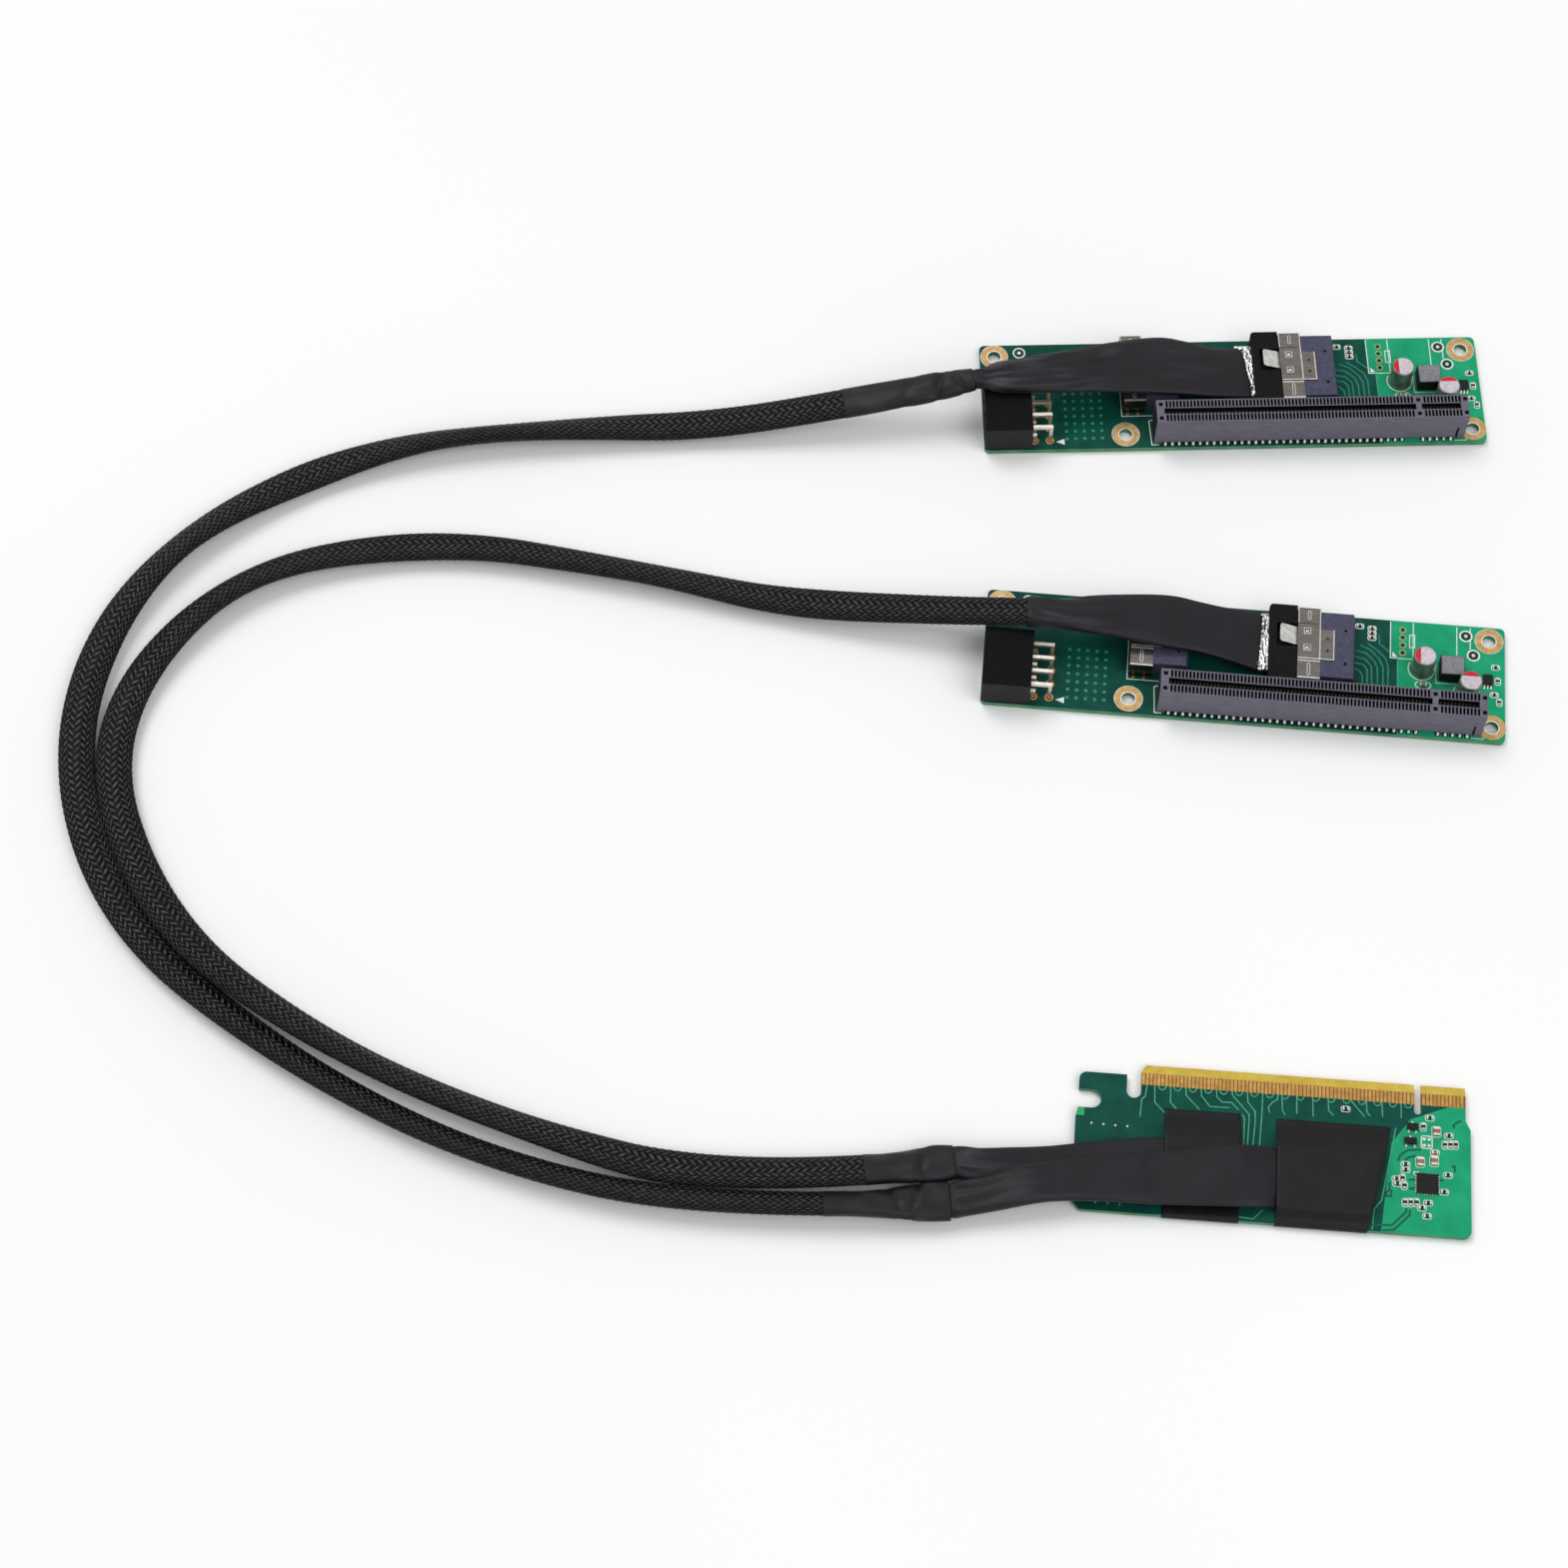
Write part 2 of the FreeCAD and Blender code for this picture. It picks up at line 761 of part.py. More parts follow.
def host_tape(x_range, top_y, over, height, low_x):
    """Tape folded round the front edge of the card, over a flat cable end and under the card."""
    t = tape_thick
    peak = host_top + height
    front = -host_depth
    x0, x1 = x_range
    path = [
        (x0, top_y, host_top),
        (x0, over[1], host_top),
        (x0, over[1] - tape_ramp, peak),
        (x0, over[0] + tape_ramp, peak),
        (x0, over[0], host_top),
        (x0, front, host_top),
        (x0, front, host_low),
        (x0, tape_under, host_low),
        (x0, tape_under, host_low - t),
        (x0, front - t, host_low - t),
        (x0, front - t, host_top + t),
        (x0, over[0] - t, host_top + t),
        (x0, over[0] + tape_ramp - t, peak + t),
        (x0, over[1] - tape_ramp + t, peak + t),
        (x0, over[1] + t, host_top + t),
        (x0, top_y, host_top + t),
    ]
    tape = prism(path, (x1 - x0, 0, 0))
    if low_x < x1:
        low, high = front - 2 * t, top_y + t
        corner = [(x1, high, 0), (low_x, low, 0), (x1 + t, low, 0), (x1 + t, high, 0)]
        tape = tape.cut(prism([(x, y, -t) for x, y, _ in corner], (0, 0, peak + 4 * t)))
    return tape


def wire_ends(x0, over):
    middle = (over[0] + over[1]) / 2
    parts = []
    for i in range(wire_count):
        y = middle + (i - (wire_count - 1) / 2) * wire_pitch - wire_width / 2
        parts.append(box(x0, y, host_top, wire_len, wire_width, wire_height))
    return grouped(parts)


def route_edges(route):
    """Straight runs joined by tangent arcs; also returns the bend radii."""
    points = [V(*p) for p in route]
    edges, radii = [], []
    last = points[0]
    for before, corner, after in zip(points, points[1:], points[2:]):
        into = corner - before
        out = after - corner
        trim = bend_share * min(into.Length, out.Length)
        u = V(into).normalize()
        w = V(out).normalize()
        turn = u.getAngle(w)
        radius = trim / math.tan(turn / 2)
        radii.append(radius)
        start = corner - u * trim
        end = corner + w * trim
        inward = (w - u).normalize()
        middle = corner + inward * (radius / math.cos(turn / 2) - radius)
        edges.append(Part.LineSegment(last, start).toShape())
        edges.append(Part.Arc(start, middle, end).toShape())
        last = end
    edges.append(Part.LineSegment(last, points[-1]).toShape())
    return edges, radii


def trimmed(edges, head, tail):
    """The same route with its first and last straight runs shortened."""
    first, last = edges[0], edges[-1]
    a, b = first.Vertexes[0].Point, first.Vertexes[-1].Point
    c, d = last.Vertexes[0].Point, last.Vertexes[-1].Point
    start = a + (b - a).normalize() * head
    end = d - (d - c).normalize() * tail
    return [Part.LineSegment(start, b).toShape()] + edges[1:-1] + [Part.LineSegment(c, end).toShape()]


def swept(edges, radius):
    wire = Part.Wire(edges)
    start = edges[0].Vertexes[0].Point
    direction = (edges[0].Vertexes[-1].Point - start).normalize()
    ring = Part.Wire(Part.Circle(start, direction, radius).toShape())
    return wire.makePipeShell([ring], True, False)


def tube_along(start, direction, length, inner, outer):
    outside = Part.makeCylinder(outer, length, start, direction)
    return outside.cut(Part.makeCylinder(inner, length, start, direction))


def section(middle, direction, width, thick):
    """Rounded flat section across direction, its long side level."""
    along = V(direction).normalize()
    side = V(0, 0, 1).cross(along).normalize()
    up = along.cross(side)
    r = jacket_edge_share * min(width, thick)
    a, b = width / 2, thick / 2
    k = r * (1 - math.sqrt(0.5))
    quarters = [(1, 1), (-1, 1), (-1, -1), (1, -1)]
    edges = []
    starts = []
    for i, (sx, sy) in enumerate(quarters):
        across = (sx * a, sy * (b - r))
        above = (sx * (a - r), sy * b)
        bulge = (sx * (a - k), sy * (b - k))
        ends = (across, above) if i % 2 == 0 else (above, across)
        starts.append((ends[0], bulge, ends[1]))
    place = [[middle + side * p[0] + up * p[1] for p in three] for three in starts]
    for i, three in enumerate(place):
        edges.append(Part.Arc(*three).toShape())
        edges.append(Part.LineSegment(three[2], place[(i + 1) % 4][0]).toShape())
    return Part.Wire(edges)


def jacket(spot, rows, end_point, end_direction, end_size):
    wires = [section(end_point, end_direction, *end_size)]
    for x, front, rear, low, high in rows:
        middle = spot.point(x, (front + rear) / 2, (low + high) / 2)
        wires.append(section(middle, spot.along(), rear - front, high - low))
    return Part.makeLoft(wires, True, True)


def cable(number, route, spot, slot_rows, host, host_rows, host_shrink_len):
    edges, radii = route_edges(route)
    points = [V(*p) for p in route]
    out = (points[1] - points[0]).normalize()
    into = (points[-1] - points[-2]).normalize()
    inner = bundle_r + sleeve_clear
    outer = inner + sleeve_wall
    shrink_in = outer + shrink_clear
    shrink_out = shrink_in + shrink_wall
    has_slot_shrink = number == slot_shrink_cable
    tail = slot_shrink_len - sleeve_inside if has_slot_shrink else 0
    sleeve_edges = trimmed(edges, host_shrink_len - sleeve_inside, tail)
    sleeve_length = sum(e.Length for e in sleeve_edges)
    bundle = swept(edges, bundle_r)
    sleeve = swept(sleeve_edges, outer).cut(swept(sleeve_edges, inner))
    length = sum(e.Length for e in edges)
    print("cable", number, "length", round(length, 1), "radii", [round(r, 1) for r in radii])
    print("  bundle volume ratio", round(bundle.Volume / (math.pi * bundle_r**2 * length), 4))
    ring_area = math.pi * (outer**2 - inner**2)
    print("  sleeve volume ratio", round(sleeve.Volume / (ring_area * sleeve_length), 4))
    NODES["conductor_bundle_%d" % number] = bundle
    NODES["braid_sleeve_%d" % number] = sleeve
    NODES["host_shrink_%d" % number] = tube_along(points[0], out, host_shrink_len, shrink_in, shrink_out)
    if has_slot_shrink:
        start = points[-1] - into * slot_shrink_len
        NODES["slot_shrink_%d" % number] = tube_along(start, into, slot_shrink_len, shrink_in, shrink_out)
    neck = (2 * outer, 2 * bundle_r)
    NODES["slot_jacket_%d" % number] = jacket(spot, slot_rows, points[-1], into, neck)
    NODES["host_jacket_%d" % number] = jacket(host, host_rows, points[0], V(0, 0, 0) - out, neck)


SPOTS = {
    1: Spot(BOARD_1_X, BOARD_1_Y, BOARD_1_TURN),
    2: Spot(BOARD_2_X, BOARD_2_Y, BOARD_2_TURN),
}
HOST = Spot(HOST_X, HOST_Y, HOST_TURN)

BOARD_MAKERS = {
    "slot_board": slot_board,
    "hole_rings": hole_rings,
    "pcie_slot_housing": slot_housing,
    "slot_contacts": slot_contacts,
    "power_header_housing": header_housing,
    "power_header_pins": header_pins,
    "receptacle_contacts": receptacle_contacts,
    "capacitor_cans": capacitor_cans,
    "capacitor_seals": capacitor_seals,
    "inductor": inductor,
    "regulator_chip": regulator,
    "chip_components": chips,
    "plug_body": plug_body,
    "plug_latch": plug_latch,
    "foil_band": foil_band,
}
for number, spot in SPOTS.items():
    for name, make in BOARD_MAKERS.items():
        NODES["%s_%d" % (name, number)] = spot.put(make())
    NODES["plug_paddle_card_%d" % number] = spot.put(plug_card_box(0))
    NODES["receptacle_housing_%d" % number] = spot.put(receptacle_housing(mated_x))
    NODES["receptacle_shell_%d" % number] = spot.put(receptacle_shell(mated_x))
    NODES["spare_receptacle_housing_%d" % number] = spot.put(receptacle_housing(spare_x))
    NODES["spare_receptacle_shell_%d" % number] = spot.put(receptacle_shell(spare_x))

cable(1, route_1, SPOTS[1], slot_jacket_1, HOST, host_jacket_1, host_shrink_len_1)
cable(2, route_2, SPOTS[2], slot_jacket_2, HOST, host_jacket_2, host_shrink_len_2)

NODES["host_board"] = HOST.put(host_board())
NODES["host_edge_contacts"] = HOST.put(host_contacts())
NODES["host_controller_chip"] = HOST.put(host_controller())
NODES["host_transistors"] = HOST.put(host_transistors())
NODES["host_passives"] = HOST.put(host_passives())
NODES["host_tape_1"] = HOST.put(host_tape(tape_2_x, tape_2_top, tape_2_over, jacket_over, tape_2_low_x))
NODES["host_tape_2"] = HOST.put(host_tape(tape_1_x, tape_1_top, tape_1_over, jacket_flat, tape_1_x[1]))
NODES["host_wire_ends_1"] = HOST.put(wire_ends(jacket_1_end, tape_2_over))
NODES["host_wire_ends_2"] = HOST.put(wire_ends(jacket_2_end, tape_1_over))

for name, shape in sorted(NODES.items()):
    shape.exportStep("parts/%s.step" % name)
print(len(NODES), "nodes")
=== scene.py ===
import math

import bpy
import numpy as np
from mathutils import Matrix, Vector, noise


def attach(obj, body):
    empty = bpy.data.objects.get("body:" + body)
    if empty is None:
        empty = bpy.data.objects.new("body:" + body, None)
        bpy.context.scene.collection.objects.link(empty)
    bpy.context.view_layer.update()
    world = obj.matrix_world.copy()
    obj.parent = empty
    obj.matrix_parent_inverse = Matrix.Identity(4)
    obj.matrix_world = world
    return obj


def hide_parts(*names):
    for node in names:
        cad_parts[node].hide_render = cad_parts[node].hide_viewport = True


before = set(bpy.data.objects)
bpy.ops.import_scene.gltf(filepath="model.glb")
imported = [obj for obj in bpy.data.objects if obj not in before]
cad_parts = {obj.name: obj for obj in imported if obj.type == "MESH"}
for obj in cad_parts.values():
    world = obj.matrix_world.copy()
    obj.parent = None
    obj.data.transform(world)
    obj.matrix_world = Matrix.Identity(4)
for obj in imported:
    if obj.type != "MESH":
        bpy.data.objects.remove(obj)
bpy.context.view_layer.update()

# Adapter cable set: one edge-connector card joined by two flat braided cables to two slot boards.
# Local sizes are millimetres on a board; MM turns them into metres of the shared frame.
MM = 0.001
ROOT = "boards_and_cables"
NUMBERS = (1, 2)
SCENE = bpy.context.scene
FULL_TURN = 2 * math.pi
BLACK, WHITE = (0, 0, 0), (255, 255, 255)

# Heights of the board faces
BOARD_TOP = 1.6
HOST_LOW = 0.25
HOST_TOP = 1.85

# Layers of printing and copper above a board face
COPPER_LIFT = 0.02
PRINT_LIFT = 0.04
PAD_LIFT = 0.06
LAYER_STEP = 0.002


def linear(red, green, blue):
    """Screen colour, 0 to 255, as the linear colour that shaders take."""
    values = []
    for level in (red, green, blue):
        share = level / 255
        values.append(share / 12.92 if share <= 0.04045 else ((share + 0.055) / 1.055) ** 2.4)
    return (*values, 1.0)


def eased(share):
    """Smooth step of a share kept between 0 and 1."""
    share = np.clip(share, 0, 1)
    return share * share * (3 - 2 * share)


class Nodes:
    """Shader nodes of one tree; an input is given as a value or as another node's output."""

    def __init__(self, tree):
        self.tree = tree

    def put(self, value, socket):
        if isinstance(value, bpy.types.NodeSocket):
            self.tree.links.new(value, socket)
        else:
            socket.default_value = value

    def node(self, kind, inputs=None, **settings):
        made = self.tree.nodes.new(kind)
        for name, value in settings.items():
            setattr(made, name, value)
        for name, value in (inputs or {}).items():
            self.put(value, made.inputs[name])
        return made

    def math(self, operation, a, b=0.0):
        made = self.node("ShaderNodeMath", operation=operation)
        for socket, value in zip(made.inputs, (a, b)):
            self.put(value, socket)
        return made.outputs["Value"]


class Look(Nodes):
    """A procedural material put together from nodes."""

    def __init__(self, name, rough, metal=0.0, shine=0.5):
        self.material = bpy.data.materials.new(name)
        self.material.use_nodes = True
        super().__init__(self.material.node_tree)
        self.skin = self.tree.nodes["Principled BSDF"]
        for socket, value in (("Roughness", rough), ("Metallic", metal), ("Specular IOR Level", shine)):
            self.skin.inputs[socket].default_value = value
        coordinates = self.node("ShaderNodeTexCoord")
        self.place = coordinates.outputs["Object"]
        self.strip = coordinates.outputs["UV"]

    def mapped(self, place, scale, turn=0.0, shift=(0, 0, 0)):
        inputs = {"Vector": place, "Location": shift, "Rotation": (0, 0, turn), "Scale": scale}
        return self.node("ShaderNodeMapping", inputs).outputs["Vector"]

    def noise(self, size, detail=3.0, stretch=(1, 1, 1)):
        """Cloudy pattern with lumps of that size in millimetres."""
        place = self.mapped(self.place, stretch)
        inputs = {"Vector": place, "Scale": 1 / (size * MM), "Detail": detail}
        return self.node("ShaderNodeTexNoise", inputs).outputs["Fac"]

    def cells(self, size, stretch=(1, 1, 1)):
        """Cell pattern: distance to the nearest cell middle."""
        inputs = {"Vector": self.mapped(self.place, stretch), "Scale": 1 / (size * MM)}
        return self.node("ShaderNodeTexVoronoi", inputs).outputs["Distance"]

    def axis(self, place, name):
        return self.node("ShaderNodeSeparateXYZ", {"Vector": place}).outputs[name]

    def off(self, value, middle):
        """Distance of a value from a middle."""
        return self.math("ABSOLUTE", self.math("SUBTRACT", value, middle))

    def tones(self, value, dark, light, low=0.3, high=0.7):
        """Colour that goes from one screen colour at a low value to another at a high one."""
        made = self.node("ShaderNodeValToRGB", {"Fac": value})
        for point, position, colour in zip(made.color_ramp.elements, (low, high), (dark, light)):
            point.position = position
            point.color = linear(*colour)
        return made.outputs["Color"]

    def mixed(self, share, first, second):
        """Second colour laid over the first by a share."""
        made = self.node("ShaderNodeMix", data_type="RGBA")
        sockets = {s.name: s for s in made.inputs if s.enabled}
        for name, value in (("Factor", share), ("A", first), ("B", second)):
            self.put(value, sockets[name])
        return [s for s in made.outputs if s.enabled][0]

    def paint(self, colour):
        self.put(colour, self.skin.inputs["Base Color"])

    def normal(self, output):
        self.put(output, self.skin.inputs["Normal"])

    def edges(self, radius):
        """Softened corners for a hard piece, radius in millimetres."""
        self.normal(self.node("ShaderNodeBevel", {"Radius": radius * MM}, samples=4).outputs["Normal"])

    def bump(self, height, depth, strength=1.0):
        inputs = {"Height": height, "Strength": strength, "Distance": depth * MM}
        before = self.skin.inputs["Normal"].links
        if before:
            inputs["Normal"] = before[0].from_socket
        self.normal(self.node("ShaderNodeBump", inputs).outputs["Normal"])


def two_tone(name, dark, light, size, rough, metal=0.0, shine=0.2, edge=0.0, bump=0.0, stretch=(1, 1, 1)):
    """Material that drifts between two screen colours, with softened corners and a fine grain."""
    look = Look(name, rough, metal, shine)
    grain = look.noise(size, stretch=stretch)
    look.paint(look.tones(grain, dark, light, low=0.32, high=0.68))
    if edge:
        look.edges(edge)
    if bump:
        look.bump(grain, bump)
    return look


class Spot:
    """Place of a board on the floor: millimetres on the board to metres in the shared frame."""

    def __init__(self, x, y, degrees):
        self.x, self.y, self.turn = x, y, math.radians(degrees)

    def point(self, x, y, z):
        across, along = math.cos(self.turn), math.sin(self.turn)
        return (self.x + x * across - y * along) * MM, (self.y + x * along + y * across) * MM, z * MM

    def row(self, x, front, rear, low, high):
        """Middle point, half width and half height of a flat tube where it crosses one x."""
        middle = self.point(x, (front + rear) / 2, (low + high) / 2)
        return (*middle, (rear - front) / 2 * MM, (high - low) / 2 * MM)

    def local(self, look):
        """The board's own millimetre coordinates, inside a material."""
        moved = look.mapped(look.place, (1 / MM, 1 / MM, 1 / MM), 0.0, (-self.x, -self.y, 0))
        return look.mapped(moved, (1, 1, 1), -self.turn)


SPOTS = {1: Spot(-70.36, 99.39, 1.25), 2: Spot(-73.82, 17.68, -5.12)}
HOST = Spot(-34.12, -90.32, -4.56)


def placed(name, data):
    """New object in the scene."""
    made = bpy.data.objects.new(name, data)
    SCENE.collection.objects.link(made)
    return made


def piece(name, points, faces, looks, smooth=True, face_looks=None, strip=None):
    """A mesh that rides on the still body; looks is one material or several picked by face_looks."""
    mesh = bpy.data.meshes.new(name)
    mesh.from_pydata([tuple(p) for p in points], [], [tuple(f) for f in faces])
    for look in looks if isinstance(looks, list) else [looks]:
        mesh.materials.append(look.material)
    if face_looks is not None:
        mesh.polygons.foreach_set("material_index", face_looks)
    mesh.polygons.foreach_set("use_smooth", [smooth] * len(mesh.polygons))
    if strip is not None:
        layer = mesh.uv_layers.new(name="strip")
        corners = np.zeros(len(mesh.loops), dtype=np.int32)
        mesh.loops.foreach_get("vertex_index", corners)
        layer.data.foreach_set("uv", np.asarray(strip, dtype=np.float32)[corners].ravel())
    mesh.update()
    made = placed(name, mesh)
    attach(made, ROOT)
    return made


def unit(vectors):
    return vectors / np.linalg.norm(vectors, axis=1)[:, None]


class Line:
    """A run of close points with lengths along it, in metres."""

    def __init__(self, points):
        self.points = np.array(points, dtype=float)
        steps = np.linalg.norm(np.diff(self.points, axis=0), axis=1)
        self.at = np.concatenate([[0.0], np.cumsum(steps)])
        self.length = self.at[-1]

    def place(self, s):
        return np.stack([np.interp(s, self.at, self.points[:, i]) for i in range(3)], axis=-1)

    def frames(self, s, roll):
        """Middle points and the directions across, up and ahead at each length in s, rolled by radians."""
        reach = 2 * MM
        heading = unit(self.place(np.minimum(s + reach, self.length)) - self.place(np.maximum(s - reach, 0)))
        side = unit(np.cross([0.0, 0.0, 1.0], heading))
        up = np.cross(heading, side)
        cos, sin = np.cos(roll)[:, None], np.sin(roll)[:, None]
        return self.place(s), side * cos + up * sin, up * cos - side * sin, heading


def smooth_rows(rows, step):
    """Rows of numbers joined by a smooth run, about one row per step of the first three columns."""
    rows = np.array(rows, dtype=float)
    made = []
    for i in range(len(rows) - 1):
        before, after = rows[max(i - 1, 0)], rows[min(i + 2, len(rows) - 1)]
        start, end = rows[i], rows[i + 1]
        pull_in, pull_out = (end - before) / 2, (after - start) / 2
        count = max(2, int(np.linalg.norm(end[:3] - start[:3]) / step))
        for k in range(count):
            t = k / count
            made.append(
                (2 * t**3 - 3 * t**2 + 1) * start
                + (t**3 - 2 * t**2 + t) * pull_in
                + (3 * t**2 - 2 * t**3) * end
                + (t**3 - t**2) * pull_out
            )
    made.append(rows[-1])
    return np.array(made)


def turned(x, y, radius, angle):
    """Point at a radius and angle from a middle."""
    return (x + radius * math.cos(angle), y + radius * math.sin(angle))


def rectangle(x0, y0, x1, y1):
    """Closed outline."""
    return [(x0, y0), (x1, y0), (x1, y1), (x0, y1), (x0, y0)]


def ring_faces(rings, around, capped=True):
    """Faces of a tube made of rings of points."""
    faces = []
    for r in range(rings - 1):
        low, high = r * around, (r + 1) * around
        for k in range(around):
            after = (k + 1) % around
            faces.append((low + k, low + after, high + after, high + k))
    if capped:
        faces.append(tuple(reversed(range(around))))
        faces.append(tuple((rings - 1) * around + k for k in range(around)))
    return faces


# Creases: height from the deepest painted crease shade to the palest painted ridge highlight, top and fall
# of a sharp ridge, shift of the pattern between both sides of a tube, and how fast they die out towards its
# edges
LIFT_SPAN, RIDGE_TOP, RIDGE_FALL, SIDE_SHIFT, EDGE_FADE = 1.6, 0.5, 2.0, 7.0, 2


def soft_tube(name, line, s, half_width, half_height, look, around, square, roll=0.0, lean=0.0,
              creases=(), folds=(), seed=0.0):
    """Soft flat tube along a line; sizes in metres at each length in s.

    A crease is (depth at each s, length, width, sharp) in millimetres, and a fold is (s, slant, depth,
    width): a groove across the tube. lean moves the left edge back and the right edge on, in metres at
    each s. square is the power of the rounded outline, and around its number of points.
    """
    roll, lean = np.zeros(len(s)) + roll, np.zeros(len(s)) + lean
    middle, wide, tall, heading = line.frames(s, roll)
    points, strip = [], []
    for i in range(len(s)):
        for k in range(around):
            c, d = turned(0, 0, 1, FULL_TURN * k / around)
            a = math.copysign(abs(c) ** (2 / square), c) * half_width[i]
            b = math.copysign(abs(d) ** (2 / square), d) * half_height[i]
            out = 1.0 if d > 0 else -1.0
            lift = 0.0
            for depth, length, width, sharp in creases:
                spot = Vector((s[i] / (length * MM), a / (width * MM), seed + SIDE_SHIFT * out))
                wave = noise.noise(spot)
                lift += depth[i] * (RIDGE_TOP - RIDGE_FALL * abs(wave) if sharp else wave)
            for at, slant, depth, width in folds:
                off = (s[i] / MM - at - slant * a / half_width[i]) / width
                lift -= depth * math.exp(-off * off)
            b += lift * MM * min(1.0, abs(d) * EDGE_FADE) * out
            points.append(middle[i] + wide[i] * a + tall[i] * b - heading[i] * (lean[i] * c))
            # The strip holds the crease height, from which cloth_look paints its ridge highlight and crease
            # shade
            strip.append((k / around, 0.5 + lift / LIFT_SPAN))
    return piece(name, points, ring_faces(len(s), around), look, strip=strip)


# Camera, at the photograph's angle
CAMERA_PLACE, CAMERA_TILT = (-0.12796, -0.44088, 0.85154), 27.0
camera_data = bpy.data.cameras.new("camera")
camera_data.lens = 80.306
camera_data.sensor_width = 36.0
camera = placed("camera", camera_data)
camera.location = CAMERA_PLACE
camera.rotation_euler = (math.radians(CAMERA_TILT), 0.0, 0.0)
SCENE.camera = camera

# Cables: control points of each route in millimetres, host end first
ROUTES = {
    1: [
        (-85.5, -129.4, 4.4), (-146.5, -131.6, 3.9), (-205.5, -118.0, 3.9), (-258.0, -90.5, 3.9),
        (-307.5, -50.0, 3.9), (-326.5, 8.0, 3.9), (-307.5, 63.5, 3.9), (-251.5, 98.5, 3.9),
        (-193.0, 105.5, 3.9), (-133.0, 107.5, 4.4), (-73.5, 115.2, 14.6),
    ],
    2: [
        (-84.0, -118.5, 4.4), (-142.0, -124.5, 3.9), (-197.5, -109.0, 3.9), (-249.5, -85.5, 3.9),
        (-296.0, -50.0, 3.9), (-317.5, 7.0, 3.9), (-286.0, 56.5, 3.9), (-228.5, 69.5, 3.9),
        (-170.5, 58.5, 3.9), (-116.0, 45.0, 4.4), (-59.0, 39.5, 13.5),
    ],
}
FLOOR_RUN_Z = 3.9
RAISED_RUN_Z = 9.0
# Twist of the flat braid: share of the length and degrees
TWISTS = {
    1: [(0, 45), (0.20, 50), (0.28, 46), (0.36, 30), (0.46, 0), (0.54, 0), (0.61, -38), (0.68, -5),
        (0.765, -57), (0.85, -12), (1, -8)],
    2: [(0, 30), (0.10, 22), (0.13, 14), (0.20, 43), (0.28, 48), (0.36, 32), (0.45, 0), (0.51, 0),
        (0.60, -40), (0.69, -15), (0.81, -42), (0.895, -10), (1, -20)],
}
BRAID_HALF_WIDTH, BRAID_HALF_HEIGHT = 4.6, 2.1
# Lengths left free of braid at the host end and at the slot end
BRAID_START = {1: 32.0, 2: 23.0}
BRAID_END = {1: 37.0, 2: 0.0}
# Strands each way, length of a turn, width and rounding of a strand, depth of the weave, step between points
STRANDS, STRAND_TURN, STRAND_WIDTH, STRAND_CROWN, WEAVE_DEPTH, STRAND_STEP = 24, 52.0, 0.9, 0.3, 0.2, 0.8
FLOOR_GAP = 0.1
# Steps round the sleeve by which its girth is measured
GIRTH_STEPS = 720
# Rows of the twist table, and over how many of them a change is spread
TWIST_ROWS, TWIST_BLUR = 400, 25


def cord_line(name, route):
    """Points of the spline with the route as its control points."""
    curve = bpy.data.curves.new(name, "CURVE")
    curve.dimensions = "3D"
    spline = curve.splines.new("NURBS")
    spline.points.add(len(route) - 1)
    for point, (x, y, z) in zip(spline.points, route):
        point.co = (x * MM, y * MM, z * MM, 1.0)
    spline.order_u = 3
    spline.use_endpoint_u = True
    spline.resolution_u = 64
    holder = placed(name, curve)
    mesh = bpy.data.meshes.new_from_object(holder)
    points = [tuple(v.co) for v in mesh.vertices]
    bpy.data.objects.remove(holder)
    bpy.data.meshes.remove(mesh)
    return Line(points)


def twist_at(number, line, s):
    """Twist of a cable in radians at each length in s."""
    fine = np.linspace(0, 1, TWIST_ROWS)
    level = np.interp(fine, *zip(*TWISTS[number]))
    window = np.hanning(TWIST_BLUR)
    padded = np.pad(level, TWIST_BLUR // 2, mode="edge")
    level = np.convolve(padded, window / window.sum(), mode="valid")
    return np.radians(np.interp(s / line.length, fine, level))


def resting(line, number):
    """The line let down so that the twisted flat braid lies on the floor, raised at its slot end."""
    s = np.linspace(0, line.length, int(line.length / MM))
    points = line.place(s)
    twist = twist_at(number, line, s)
    half = np.hypot(BRAID_HALF_WIDTH * np.sin(twist), BRAID_HALF_HEIGHT * np.cos(twist)) * MM
    raised = eased((points[:, 2] / MM - FLOOR_RUN_Z) / (RAISED_RUN_Z - FLOOR_RUN_Z))
    drop = FLOOR_RUN_Z * MM - half - (STRAND_CROWN + WEAVE_DEPTH + FLOOR_GAP) * MM
    points[:, 2] -= drop * (1 - raised)
    return Line(points)


LINES = {n: resting(cord_line("route_%d" % n, ROUTES[n]), n) for n in NUMBERS}


def braid_look():
    """Black plastic filaments, ribbed along each strand, with a painted highlight along the middle of each
    strand where it lies on top.
    """
    look = Look("braid_strands", rough=0.3, shine=0.1)
    across, lift = look.axis(look.strip, "X"), look.axis(look.strip, "Y")
    flank = look.math("MULTIPLY", look.off(across, 0.5), 2.0)
    # Painted highlight: pale along the middle of strands that lie on top, near black elsewhere, unevenly
    # strong
    glint_share = look.math("MULTIPLY", look.math("SUBTRACT", 1.0, flank), lift)
    painted_glint = look.math("MULTIPLY", glint_share, look.math("ADD", look.noise(1.6), 0.5))
    look.paint(look.tones(painted_glint, (5, 5, 6), (88, 87, 92), low=0.45, high=0.98))
    waves = {"Vector": look.strip, "Scale": 1.6, "Distortion": 0.6}
    ribs = look.node("ShaderNodeTexWave", waves, wave_type="BANDS", bands_direction="X")
    look.bump(ribs.outputs["Fac"], 0.12, strength=0.25)
    return look


STRAND_LOOK = braid_look()
CORE_LOOK = two_tone("braid_core", (3, 3, 3), (8, 8, 9), 1.5, 0.9, shine=0.05, bump=0.05)


